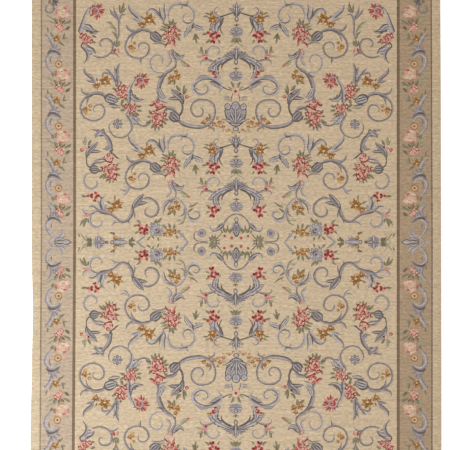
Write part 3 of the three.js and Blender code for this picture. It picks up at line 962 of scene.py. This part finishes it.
def garland_unit(last=False, rose_at_head=True):
    """One repeat of the border garland, from the big pale rose to the foot of its C-scroll."""
    shapes = leaf((784, 860), (797, 855), 5, 0.1, ("slate", "grey", "grey"))
    shapes += leaves(((706, 908, 688, 926, 10, 0.06), (718, 904, 700, 918, 8, 0.06)))
    shapes += leaf((728, 908), (712, 926), 10, 0.06, DARK)
    shapes += leaves(((728, 906, 736, 932, 15, 0.06), (744, 906, 758, 934, 14, 0.06)))
    shapes += leaves(((756, 922, 792, 946, 9, 0.06), (754, 908, 780, 922, 8, 0.06)), OLIVE)
    shapes += leaf((712, 882), (693, 899), 13, 0.06, DARK)
    if rose_at_head:
        shapes += border_rose()
    shapes += each(rose,
        ((738, 896), 20, 20, BORDER_ROSE),
        ((728, 884), 13, 140, BORDER_ROSE, ROSE_STROKES[:6]))
    if last:
        return shapes + leaf((782, 868), (788, 892), 6, 0.0, AUTUMN)
    shapes += leaf((782, 872), (786, 894), 7, 0.06, AUTUMN)
    shapes += leaves(((722, 842, 714, 872, 9, 0.06), (726, 846, 702, 850, 7, 0.06),
        (738, 836, 726, 818, 10, 0.06), (728, 830, 714, 812, 7, 0.06), (762, 850, 774, 874, 9, 0.06),
        (760, 838, 782, 834, 6, 0.06)))
    shapes += leaves(((740, 758, 748, 774, 7, 0.06), (730, 722, 718, 710, 9, 0.06)), OLIVE)
    shapes += leaves(((766, 708, 760, 686, 12, 0.06), (748, 712, 754, 690, 12, 0.06),
        (738, 708, 728, 694, 8, 0.06)))
    shapes += flower((748, 846), 19, 7, OCHRE, "cream", 0)
    shapes += scroll([(790, 868), (777, 852), (767, 836), (760, 812)], [7, 13, 16, 15], -1, MIST)
    shapes += garland_curl()
    for yarn, radius in (("ochre", 16), ("blush", 11), ("gold", 7), ("umber", 4)):
        shapes += spot(yarn, (739, 740), radius, sides=11)
    return shapes + crescent("umber", (739, 740), 14.5, 60, 120, 3)


def border_scroll(places, widths, lit=1):
    """A border scroll: a pale band between a dark outer line and a thin inner one."""
    shapes = each(ribbon, ("grey", places, widths), ("lavender", places, widths, lit * 0.1, 0.72))
    return shapes + ribbon("silver", places, widths, lit * 0.18, 0.4)


def leaf_cap(across, along):
    """The tuft at the head of a border scroll: a fan of pale leaves over a dark curved band."""
    shapes = []
    for tip, width in (((18, 16), 12), ((-34, 8), 12), ((-20, 28), 13), ((-2, 32), 14)):
        shapes += leaf((0, -8), tip, width, 0.0, MIST)
    shapes += each(ribbon,
        ("grey", [(24, -14), (14, 0), (-4, 2), (-20, -8), (-32, -24)], [6, 15, 13, 9, 2]),
        ("slate", [(22, -12), (12, -3), (-4, -3), (-19, -12), (-30, -22)], [4, 9, 6, 4, 1]),
        ("silver", [(14, 5), (-4, 6), (-20, -3)], [1, 4, 1]))
    return moved(shapes, across, along)


def garland_curl():
    """The grey leaf cap and the C-scroll below it."""
    shapes = border_scroll([(733, 760), (744, 776), (760, 783), (776, 777), (787, 762), (787, 744),
        (779, 724), (766, 709), (758, 702)], [3, 9, 11, 12, 13, 13, 12, 10, 3], -1)
    shapes += scroll([(767, 772), (774, 757), (770, 742)], [2, 6, 1], 1)
    return shapes + leaf_cap(760, 796)


def garland_middle():
    """The last curl of a run, which turns back, and the pale palmette across the middle of the side."""
    shapes = scroll([(786, 160), (772, 146), (765, 132), (768, 108)], [3, 12, 16, 16], -1, MIST)
    shapes += border_scroll([(729, 78), (738, 92), (758, 96), (776, 89), (787, 74), (785, 54), (774, 34),
        (762, 20), (772, 8), (779, 0)], [3, 9, 10, 11, 13, 13, 11, 9, 9, 8], -1)
    shapes += scroll([(767, 80), (770, 68), (768, 56)], [2, 6, 1], 1)
    shapes += leaf_cap(760, 102)
    shapes += border_scroll([(728, 52), (730, 38), (741, 25), (758, 19)], [8, 11, 10, 4], 1)
    shapes += scroll([(713, 40), (718, 27), (733, 19), (752, 12)], [2, 10, 10, 4], 1,
        ("grey", "silver", "silver"))
    shapes += blades(((757, 5, 712, 19, 11, -0.05),))
    for yarn, outline in (("slate", [(757, 0), (755, 7), (738, 7), (724, 8), (710, 12), (698, 10), (685, 0)]),
            ("silver", [(753, 0), (751, 3), (738, 3.5), (724, 4), (709, 8), (700, 6), (691, 0)])):
        shapes += [(yarn, outline + [(x, -y) for x, y in outline[-2:0:-1]])]
    shapes += ribbon("lavender", [(750, 1), (728, 3), (700, 1)], [2, 3, 1])
    return shapes + leaf((782, 0), (802, 2), 9, 0.0, ("lavender", "silver", "silver"))


def garland(first, rose_at_head=True):
    """A run of the border garland from the first repeat that it holds down to the middle of its side."""
    shapes = []
    for count in range(first, 4):
        shapes += moved(garland_unit(count == 3, rose_at_head or count > first), 0.0, -GARLAND_REPEAT * count)
    return shapes + garland_middle()


def corner_spray():
    """The grey leaves and the ring curl between a garland's first rose and the corner."""
    shapes = scroll([(780, 1004), (766, 986), (759, 972), (766, 958), (780, 955), (790, 964), (788, 980),
        (780, 984)], [4, 8, 9, 9, 8, 9, 8, 3], 1)
    for tip, width in (((738, 992), 12), ((736, 1004), 12), ((746, 980), 13), ((758, 980), 11)):
        shapes += leaf((764, 1014), tip, width, 0.0, GREY)
    return shapes + leaf((770, 1014), (782, 990), 9, 0.0, AUTUMN)


def corner_rose():
    """The big rose in each corner of the border, among its leaves."""
    shapes = []
    for tip in ((700, 1060), (716, 1040), (790, 1060), (792, 1100), (770, 1136), (742, 1142), (704, 1130)):
        shapes += leaf((748, 1084), tip, 17, 0.0, GREEN)
    return shapes + rose((746, 1086), 34, 0, ("crimson", "pink", "pink", "blush", "cream"))


def all_field():
    """Every group of the field's quarter."""
    shapes = field_shapes()
    for group in (cartouche_group, lower_large_curl, middle_scroll, second_plant, inner_blossom, outer_scroll,
            upper_roses, ring_scroll, bell_and_bud, low_roses, bird_leaf_arm, outer_bell, lower_outer_roses,
            outer_low_spray, lower_middle, cross_middle_row):
        shapes += group()
    return shapes


def turned(shapes):
    """Turns a side border's shapes so that they run across the end of the rug."""
    return [(yarn, [(y, x + END_SHIFT) for x, y in outline]) for yarn, outline in shapes]


def ground_shapes():
    """The plain grounds and lines, from the outer band in to the field."""
    guard_in, guard_out = GUARD_LINE
    line_in, line_out = OUTER_LINE
    right = HALF_WIDTH + MARGIN
    top = HALF_LENGTH + MARGIN
    shapes = [("outer", [(-MARGIN, -MARGIN), (right, -MARGIN), (right, top), (-MARGIN, top)])]
    for yarn, reach in (("line", line_out), ("border", line_in), ("guard", guard_out), ("field", guard_in)):
        top = reach + END_SHIFT
        shapes.append((yarn, [(-MARGIN, -MARGIN), (reach, -MARGIN), (reach, top), (-MARGIN, top)]))
    return shapes


def cartoon():
    """Everything that is woven into one quarter of the rug."""
    shapes = ground_shapes()
    shapes += garland(0) + corner_spray()
    shapes += turned(garland(1, rose_at_head=False) + corner_spray())
    shapes += corner_rose()
    return shapes + all_field()


# The sheet, in millimetres. SLACK is how far a thinned line may leave the drawn one, THREAD the step that its
# corners keep to, and ON_AXIS the distance within which a corner is moved onto a middle line.
THICKNESS = 4.0
EDGE_ROUNDING = 1.5
CORNER_RADIUS = 5.0
GRID_PITCH = 45.0
SLACK = 0.6
THREAD = 1.0
ON_AXIS = 0.06
# How far each selvedge stands out along the rug's length, in rows of y and distance
LEFT_SELVEDGE = ((-1200, 4), (-1000, 5), (-800, 5), (-550, 0), (-430, -2), (-300, -5), (-180, -3), (-50, 0),
                 (500, 0), (1200, 0))
RIGHT_SELVEDGE = ((-1200, 3), (-800, 4), (-180, 3), (250, 2), (640, 1), (1200, -2))
# How far the guard stripe and the outer line of each side stand out, as the selvedge tables do
LEFT_GUARD = ((-1200, 4), (-865, 3), (-700, 1), (-530, 0), (-366, -2), (-200, -3), (1200, -3))
LEFT_LINE = ((-1200, 8), (-865, 7), (-700, 6), (-530, 5), (-366, 1), (-200, 0), (1200, 0))
RIGHT_GUARD = ((-1200, 0), (1200, 0))
RIGHT_LINE = ((-1200, 5), (-400, 5), (0, 6), (300, 7), (470, 5), (1000, 2), (1200, 2))
SELVEDGE_STEP = 60.0
# The size and the wave length of the pattern's drift and of the cloth's rise and fall, and the places in the
# noise that they are read from. Without a seed the drift would follow the clock and differ from run to run.
NOISE_SEED = 1796026240
DRIFT = 4.0
DRIFT_LENGTH = 330.0
DRIFT_START = Vector((3.1, 7.7, 0.4))
UNEVENNESS = 0.7
UNEVENNESS_LENGTH = 260.0
UNEVENNESS_LEVEL = 50.0

# The flat map's width and length in metres, and the share of it below the top that takes edge and underside
MAP_SPAN = (1.74, 2.44)
MAP_STRIP = 0.03

# The weave, in metres: from one warp's rib to the next, and from one row of weft to the next
RIB_PITCH = 0.0026
ROW_PITCH = 0.0013

# The photo's pixel in metres, its side in pixels, and where its middle lies on the rug
PHOTO_PIXEL = 0.00416
PHOTO_SIDE = 450
PHOTO_CENTRE = Vector((-0.046, 0.071, 0.0))
FLOOR_HALF = 20.0
FLOOR_GAP = 0.0003

# Yarn colours as a painter would name them: red, green and blue from 0 to 255
YARNS = {
    "field": (210, 190, 161),
    "border": (193, 173, 151),
    # The border's ground with painted shade, a darker and browner yarn used on the right side only
    "border_in_shade": (178, 156, 130),
    "outer": (207, 188, 159),
    "guard": (130, 110, 90),
    "line": (150, 130, 104),
    "slate": (106, 98, 94),
    "grey": (141, 132, 131),
    "lavender": (165, 157, 161),
    "silver": (187, 182, 182),
    "pine": (120, 114, 91),
    "olive": (150, 143, 117),
    "sage": (175, 169, 144),
    "wine": (128, 46, 48),
    "crimson": (158, 66, 66),
    "rose": (190, 118, 108),
    "pink": (212, 160, 146),
    "blush": (214, 184, 160),
    "cream": (218, 200, 172),
    "umber": (136, 95, 54),
    "ochre": (176, 130, 79),
    "gold": (205, 165, 114),
}
YARN_NAMES = list(YARNS)


def quarter_edge():
    """The outline of a quarter of the sheet's top, inside the rounding of its edge."""
    right = HALF_WIDTH - EDGE_ROUNDING
    top = HALF_LENGTH - EDGE_ROUNDING
    radius = CORNER_RADIUS - EDGE_ROUNDING
    edge = [(0.0, 0.0)] + [(right, step * GRID_PITCH) for step in range(int(top / GRID_PITCH) + 1)]
    for step in range(4):
        angle = math.radians(30 * step)
        edge.append((right - radius + radius * math.cos(angle), top - radius + radius * math.sin(angle)))
    return edge + [(step * GRID_PITCH, top) for step in range(int(right / GRID_PITCH), -1, -1)]


def inside(points, outline):
    """Which points, sorted by x, lie inside an outline, by how often it winds round them."""
    start = np.array(outline)
    end = np.roll(start, -1, axis=0)
    first, last = np.searchsorted(points[:, 0], (start[:, 0].min(), start[:, 0].max()))
    height = points[first:last, 1]
    near = first + np.flatnonzero((height > start[:, 1].min()) & (height < start[:, 1].max()))
    x = points[near, 0][:, None]
    y = points[near, 1][:, None]
    cross = (end[:, 0] - start[:, 0]) * (y - start[:, 1]) - (x - start[:, 0]) * (end[:, 1] - start[:, 1])
    up = (start[:, 1] <= y) & (end[:, 1] > y) & (cross > 0)
    down = (start[:, 1] > y) & (end[:, 1] <= y) & (cross < 0)
    return near[up.sum(axis=1) != down.sum(axis=1)]


def thinned(line, slack):
    """A line without the points that lie within slack of the straight run between those that stay."""
    if len(line) < 3:
        return line
    start = np.array(line[0])
    run = np.array(line[-1]) - start
    rest = np.array(line[1:-1]) - start
    length = math.hypot(*run)
    if length < 1e-6:
        away = np.hypot(rest[:, 0], rest[:, 1])
    else:
        away = np.abs(rest[:, 0] * run[1] - rest[:, 1] * run[0]) / length
    far = int(np.argmax(away)) + 1
    if away[far - 1] <= slack:
        return [line[0], line[-1]]
    return thinned(line[:far + 1], slack)[:-1] + thinned(line[far:], slack)


def thinned_loop(outline):
    """A closed outline, thinned as two halves."""
    half = len(outline) // 2
    return thinned(outline[:half + 1], SLACK)[:-1] + thinned(outline[half:] + outline[:1], SLACK)[:-1]


def colour_borders(places, faces, yarns):
    """The lines along which the colour changes, as chains of places from one meeting of lines to the next."""
    sides = {}
    for index, face in enumerate(faces):
        for a, b in ((face[0], face[1]), (face[1], face[2]), (face[2], face[0])):
            sides.setdefault((min(a, b), max(a, b)), []).append(index)
    joined = {}
    for (a, b), pair in sides.items():
        if len(pair) == 2 and yarns[pair[0]] != yarns[pair[1]]:
            joined.setdefault(a, []).append(b)
            joined.setdefault(b, []).append(a)
    done = set()
    chains = []
    meetings = [corner for corner in joined if len(joined[corner]) != 2]
    for first in meetings + list(joined):
        for second in joined[first]:
            if (first, second) in done:
                continue
            chain = [first, second]
            done.update(((first, second), (second, first)))
            while len(joined[chain[-1]]) == 2 and chain[-1] != first:
                a, b = joined[chain[-1]]
                following = b if a == chain[-2] else a
                done.update(((chain[-1], following), (following, chain[-1])))
                chain.append(following)
            line = thinned([tuple(places[corner]) for corner in chain], SLACK)
            on_threads = [tuple(round(value / THREAD) * THREAD for value in place) for place in line]
            befores = [None] + on_threads
            chains.append([place for place, before in zip(on_threads, befores) if place != before])
    return [chain for chain in chains if len(chain) > 1]


def triangulate(loops, chains, loose=()):
    """Cuts the plane into triangles that keep every given loop and chain."""
    points = []
    edges = []
    for line, closed in [(loop, True) for loop in loops] + [(chain, False) for chain in chains]:
        first = len(points)
        points += line
        edges += [(first + index, first + index + 1) for index in range(len(line) - 1)]
        if closed:
            edges.append((first + len(line) - 1, first))
    points += loose
    result = delaunay_2d_cdt([Vector(point) for point in points], edges, [], 0, 0.05, False)
    return np.array([tuple(place) for place in result[0]]), np.array(result[2])


def colours_of(places, faces, shapes):
    """The yarn of each triangle: that of the last shape over its middle, with -1 outside them all."""
    middles = places[faces].mean(axis=1)
    order = np.argsort(middles[:, 0])
    middles = middles[order]
    yarns = np.full(len(faces), -1)
    for yarn, outline in shapes:
        yarns[order[inside(middles, outline)]] = YARN_NAMES.index(yarn)
    return yarns


def weave_quarter(shapes):
    """A quarter of the top as corners, triangles and yarns, cut only where the colour changes."""
    edge = quarter_edge()
    shapes = [(yarn, thinned_loop(outline)) for yarn, outline in shapes]
    places, faces = triangulate([edge] + [outline for _, outline in shapes], [])
    chains = colour_borders(places, faces, colours_of(places, faces, shapes))
    grid = [(i * GRID_PITCH, j * GRID_PITCH) for i in range(int(HALF_WIDTH / GRID_PITCH) + 1)
            for j in range(int(HALF_LENGTH / GRID_PITCH) + 1)]
    places, faces = triangulate([edge], chains, grid)
    faces = faces[colours_of(places, faces, [("field", edge)]) >= 0]
    return places, faces, colours_of(places, faces, shapes)


def outward(place):
    """The way out of the sheet at a place on its edge."""
    core_x = HALF_WIDTH - CORNER_RADIUS
    core_y = HALF_LENGTH - CORNER_RADIUS
    x = place.x - max(-core_x, min(core_x, place.x))
    y = place.y - max(-core_y, min(core_y, place.y))
    return Vector((x, y, 0.0)).normalized()


def lay(bm):
    """Gives selvedges and lines their wander, the pattern its drift and the cloth its unevenness."""
    noise.seed_set(NOISE_SEED)
    tables_of = {-1: (LEFT_GUARD, LEFT_LINE, LEFT_SELVEDGE), 1: (RIGHT_GUARD, RIGHT_LINE, RIGHT_SELVEDGE)}
    sides = {}
    for side, tables in tables_of.items():
        sides[side] = [np.array(curve_through(table, SELVEDGE_STEP)) for table in tables]
    middle = sum(GUARD_LINE) / 2
    for vert in bm.verts:
        x, y, z = vert.co
        side = -1 if x < 0 else 1
        outs = [0.0] + [np.interp(y, curve[:, 0], curve[:, 1]) for curve in sides[side]]
        out = float(np.interp(abs(x), (0.0, middle, OUTER_LINE[0], HALF_WIDTH), outs))
        inner = max(0.0, 1 - abs(x / middle) ** 3) * max(0.0, 1 - abs(y / HALF_LENGTH) ** 6)
        drift = noise.noise_vector(Vector((x, y, 0.0)) / DRIFT_LENGTH + DRIFT_START) * DRIFT * inner
        vert.co.x += side * out + drift.x
        vert.co.y += drift.y
        lift = noise.noise(Vector((x, y, UNEVENNESS_LEVEL)) / UNEVENNESS_LENGTH)
        vert.co.z += lift * UNEVENNESS * z / THICKNESS


def shade_right_side(bm, yarn_layer):
    """Paints shade on the right side: the border's ground and its outer line there take darker, browner
    yarns.
    """
    # Painted shade: on the right, the border's ground takes its shaded yarn and the outer line the darker
    # guard yarn
    pairs = (("border", "border_in_shade"), ("line", "guard"))
    shaded_yarn = {YARN_NAMES.index(plain): YARN_NAMES.index(in_shade) for plain, in_shade in pairs}
    for face in bm.faces:
        if face[yarn_layer] in shaded_yarn and face.calc_center_median().x > GUARD_LINE[1]:
            face[yarn_layer] = shaded_yarn[face[yarn_layer]]


def add_rim(bm, yarn_layer, side_layer):
    """Rounds the top's edge over and down to the floor, and closes the underside."""
    rim = [edge for edge in bm.edges if edge.is_boundary]
    rounding = []
    for angle in (30, 60, 90):
        turn = math.radians(angle)
        rounding.append((EDGE_ROUNDING * math.sin(turn), THICKNESS - EDGE_ROUNDING * (1 - math.cos(turn))))
    rounding.append((EDGE_ROUNDING, EDGE_ROUNDING))
    rounding.append((EDGE_ROUNDING * 0.7, EDGE_ROUNDING * 0.3))
    rounding.append((0.0, 0.0))
    ways = {vert: (vert.co.copy(), outward(vert.co)) for edge in rim for vert in edge.verts}
    for out, height in rounding:
        made = bmesh.ops.extrude_edge_only(bm, edges=rim)["geom"]
        for face in (item for item in made if isinstance(item, bmesh.types.BMFace)):
            face[yarn_layer] = YARN_NAMES.index("outer")
            face[side_layer] = 1
        fresh = {}
        for vert in (item for item in made if isinstance(item, bmesh.types.BMVert)):
            neighbours = [edge.other_vert(vert) for edge in vert.link_edges]
            start, way = next(ways[old] for old in neighbours if old in ways)
            vert.co = start + way * out
            vert.co.z = height
            fresh[vert] = (start, way)
        ways = fresh
        rim = [item for item in made if isinstance(item, bmesh.types.BMEdge) and item.is_boundary]
    for face in bmesh.ops.contextual_create(bm, geom=rim)["faces"]:
        face[yarn_layer] = YARN_NAMES.index("outer")
        face[side_layer] = 2


def sheet_mesh():
    """The closed sheet in millimetres: four mirrored quarters, the rim and the underside.

    The side layer tells the top's faces, 0, from those of the rim, 1, and the underside, 2.
    """
    places, faces, yarns = weave_quarter(cartoon())
    bm = bmesh.new()
    yarn_layer = bm.faces.layers.int.new("yarn")
    side_layer = bm.faces.layers.int.new("side")
    corners = {}
    for face, yarn in zip(faces, yarns):
        for corner in face:
            if corner not in corners:
                x, y = (value if value > ON_AXIS else 0.0 for value in places[corner])
                corners[corner] = bm.verts.new((x, y, THICKNESS))
        made = bm.faces.new([corners[corner] for corner in face])
        made[yarn_layer] = int(yarn)
    for axis in ("X", "Y"):
        bmesh.ops.mirror(bm, geom=bm.verts[:] + bm.edges[:] + bm.faces[:], axis=axis, merge_dist=0.01)
    # Painted shade: the right side's border ground and outer line are given darker yarns
    shade_right_side(bm, yarn_layer)
    add_rim(bm, yarn_layer, side_layer)
    bmesh.ops.triangulate(bm, faces=[face for face in bm.faces if len(face.verts) > 3])
    bmesh.ops.recalc_face_normals(bm, faces=bm.faces)
    return bm, yarn_layer, side_layer


def linear(value):
    """A painter's value from 0 to 255 as the share of light that it stands for."""
    value = value / 255
    return value / 12.92 if value <= 0.04045 else ((value + 0.055) / 1.055) ** 2.4


def make_rug():
    """The rug as an object in metres, with its yarn colours and its flat map."""
    bm, yarn_layer, side_layer = sheet_mesh()
    lay(bm)
    bm.faces.ensure_lookup_table()
    yarns = np.array([face[yarn_layer] for face in bm.faces])
    sides = np.array([face[side_layer] for face in bm.faces])
    for vert in bm.verts:
        vert.co /= 1000
    mesh = bpy.data.meshes.new("rug")
    bm.to_mesh(mesh)
    bm.free()
    colours = np.array([[linear(value) for value in YARNS[name]] + [1.0] for name in YARN_NAMES])
    attribute = mesh.color_attributes.new("yarn_colour", "FLOAT_COLOR", "CORNER")
    attribute.data.foreach_set("color", np.repeat(colours[yarns], 3, axis=0).ravel().astype(np.float32))
    mesh.attributes.remove(mesh.attributes["yarn"])
    mesh.attributes.remove(mesh.attributes["side"])
    bake_map(mesh, sides)
    mesh.shade_smooth()
    rug = bpy.data.objects.new("aubusson_rug", mesh)
    bpy.context.collection.objects.link(rug)
    return rug


def bake_map(mesh, sides):
    """A flat map of the top that fills the square, with the edge and the underside in a strip below it."""
    corners = np.empty(len(mesh.loops), dtype=np.int32)
    mesh.loops.foreach_get("vertex_index", corners)
    places = np.empty(len(mesh.vertices) * 3, dtype=np.float32)
    mesh.vertices.foreach_get("co", places)
    places = places.reshape(-1, 3)[corners]
    u = places[:, 0] / MAP_SPAN[0] + 0.5
    v = places[:, 1] / MAP_SPAN[1] + 0.5
    on_top = np.repeat(sides, 3) == 0
    v = np.where(on_top, MAP_STRIP + v * (1 - MAP_STRIP), v * MAP_STRIP * 0.8)
    uv = mesh.uv_layers.new(name="OFBake")
    uv.data.foreach_set("uv", np.stack([u, v], axis=1).ravel().astype(np.float32))


class Tree:
    """Short calls for building a material's nodes."""

    def __init__(self, name):
        self.material = bpy.data.materials.new(name)
        self.material.use_nodes = True
        self.nodes = self.material.node_tree.nodes
        self.shader = self.nodes["Principled BSDF"]

    def link(self, start, end):
        self.material.node_tree.links.new(start, end)

    def node(self, kind, **settings):
        made = self.nodes.new(kind)
        for name, value in settings.items():
            setattr(made, name, value)
        return made

    def fill(self, socket, value):
        if isinstance(value, bpy.types.NodeSocket):
            self.link(value, socket)
        else:
            socket.default_value = value

    def maths(self, operation, *values):
        made = self.node("ShaderNodeMath", operation=operation)
        for socket, value in zip(made.inputs, values):
            self.fill(socket, value)
        return made.outputs[0]

    def swing(self, value, size):
        """A value from 0 to 1 turned into one about 1 that swings by the given size."""
        return self.maths("MULTIPLY_ADD", value, size, 1 - size / 2)

    def noise(self, vector, stretch, detail=2.0):
        mapping = self.node("ShaderNodeMapping")
        self.link(vector, mapping.inputs["Vector"])
        mapping.inputs["Scale"].default_value = stretch
        made = self.node("ShaderNodeTexNoise")
        made.inputs["Scale"].default_value = 1.0
        made.inputs["Detail"].default_value = detail
        self.link(mapping.outputs[0], made.inputs["Vector"])
        return made.outputs["Fac"]


def wool_material():
    """Dyed wool in a flat ribbed weave: yarn colours from the attribute, streaked along the weft."""
    tree = Tree("dyed_wool")
    place = tree.node("ShaderNodeTexCoord").outputs["Object"]
    yarn = tree.node("ShaderNodeAttribute", attribute_name="yarn_colour").outputs["Color"]
    # The waves of each noise per metre, across the rug and along it
    streaks = tree.noise(place, (62.0, 150.0, 1.0), 3.0)
    long_streaks = tree.noise(place, (8.0, 110.0, 1.0), 2.0)
    bands = tree.noise(place, (1.6, 34.0, 1.0), 2.0)
    patches = tree.noise(place, (90.0, 150.0, 1.0), 2.0)
    grain = tree.noise(place, (250.0, 300.0, 1.0), 2.0)
    shade = tree.swing(streaks, 0.96)
    for unevenness, size in ((long_streaks, 0.45), (bands, 0.16), (grain, 0.5)):
        shade = tree.maths("MULTIPLY", shade, tree.swing(unevenness, size))
    dye = tree.node("ShaderNodeCombineXYZ")
    tree.link(shade, dye.inputs["X"])
    tree.link(shade, dye.inputs["Y"])
    tree.link(tree.maths("MULTIPLY", shade, tree.swing(patches, 0.5)), dye.inputs["Z"])
    tint = tree.node("ShaderNodeVectorMath", operation="MULTIPLY")
    tree.link(yarn, tint.inputs[0])
    tree.link(dye.outputs[0], tint.inputs[1])
    tree.link(tint.outputs[0], tree.shader.inputs["Base Color"])
    split = tree.node("ShaderNodeSeparateXYZ")
    tree.link(place, split.inputs[0])
    rib = tree.maths("SINE", tree.maths("MULTIPLY", split.outputs["X"], 2 * math.pi / RIB_PITCH))
    row = tree.maths("SINE", tree.maths("MULTIPLY", split.outputs["Y"], 2 * math.pi / ROW_PITCH))
    height = tree.maths("MULTIPLY_ADD", rib, 0.5, tree.maths("MULTIPLY", row, 0.25))
    height = tree.maths("ADD", height, tree.maths("MULTIPLY", streaks, 1.2))
    bump = tree.node("ShaderNodeBump")
    bump.inputs["Strength"].default_value = 0.35
    bump.inputs["Distance"].default_value = 0.0003
    tree.link(height, bump.inputs["Height"])
    tree.link(bump.outputs[0], tree.shader.inputs["Normal"])
    tree.shader.inputs["Roughness"].default_value = 0.92
    tree.shader.inputs["Specular IOR Level"].default_value = 0.15
    tree.shader.inputs["Sheen Weight"].default_value = 0.1
    return tree.material


def make_floor():
    """A wide white floor, a little below the rug."""
    bm = bmesh.new()
    bmesh.ops.create_grid(bm, x_segments=1, y_segments=1, size=FLOOR_HALF)
    bmesh.ops.translate(bm, verts=bm.verts, vec=(0.0, 0.0, -FLOOR_GAP))
    mesh = bpy.data.meshes.new("floor")
    bm.to_mesh(mesh)
    bm.free()
    floor = bpy.data.objects.new("floor", mesh)
    bpy.context.collection.objects.link(floor)
    white = Tree("white_floor")
    white.shader.inputs["Base Color"].default_value = (0.95, 0.95, 0.95, 1.0)
    white.shader.inputs["Roughness"].default_value = 0.9
    white.shader.inputs["Emission Color"].default_value = (1.0, 1.0, 1.0, 1.0)
    white.shader.inputs["Emission Strength"].default_value = 0.5
    mesh.materials.append(white.material)
    return floor


def place_camera():
    """A camera straight above, which sees what the photo shows."""
    camera_data = bpy.data.cameras.new("camera")
    camera_data.lens = 100.0
    camera_data.sensor_width = 36.0
    camera = bpy.data.objects.new("camera", camera_data)
    height = PHOTO_SIDE * PHOTO_PIXEL * camera_data.lens / camera_data.sensor_width
    camera.location = PHOTO_CENTRE + Vector((0.0, 0.0, height))
    bpy.context.collection.objects.link(camera)
    bpy.context.scene.camera = camera


def place_lights():
    """Soft light that is a little stronger from the near left, cool where it is direct and warm all round."""
    cool = (0.84, 0.92, 1.0)
    warm = (1.0, 0.87, 0.74)
    lamps = (
        ("key", (-2.6, -1.6, 2.3), 2.0, 84.0),
        ("fill", (0.4, 0.0, 5.0), 3.0, 44.0),
    )
    for name, location, size, power in lamps:
        data = bpy.data.lights.new(name, "AREA")
        data.size = size
        data.energy = power
        data.color = cool
        light = bpy.data.objects.new(name, data)
        light.location = location
        light.rotation_euler = (-Vector(location)).to_track_quat("-Z", "Y").to_euler()
        bpy.context.collection.objects.link(light)
    world = bpy.data.worlds.new("studio")
    world.use_nodes = True
    world.node_tree.nodes["Background"].inputs["Color"].default_value = (*warm, 1.0)
    world.node_tree.nodes["Background"].inputs["Strength"].default_value = 0.52
    bpy.context.scene.world = world
    bpy.context.scene.view_settings.view_transform = "Standard"


rug = make_rug()
rug.data.materials.append(wool_material())
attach(rug, "root")
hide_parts("rug_cloth")
floor = make_floor()
place_camera()
place_lights()
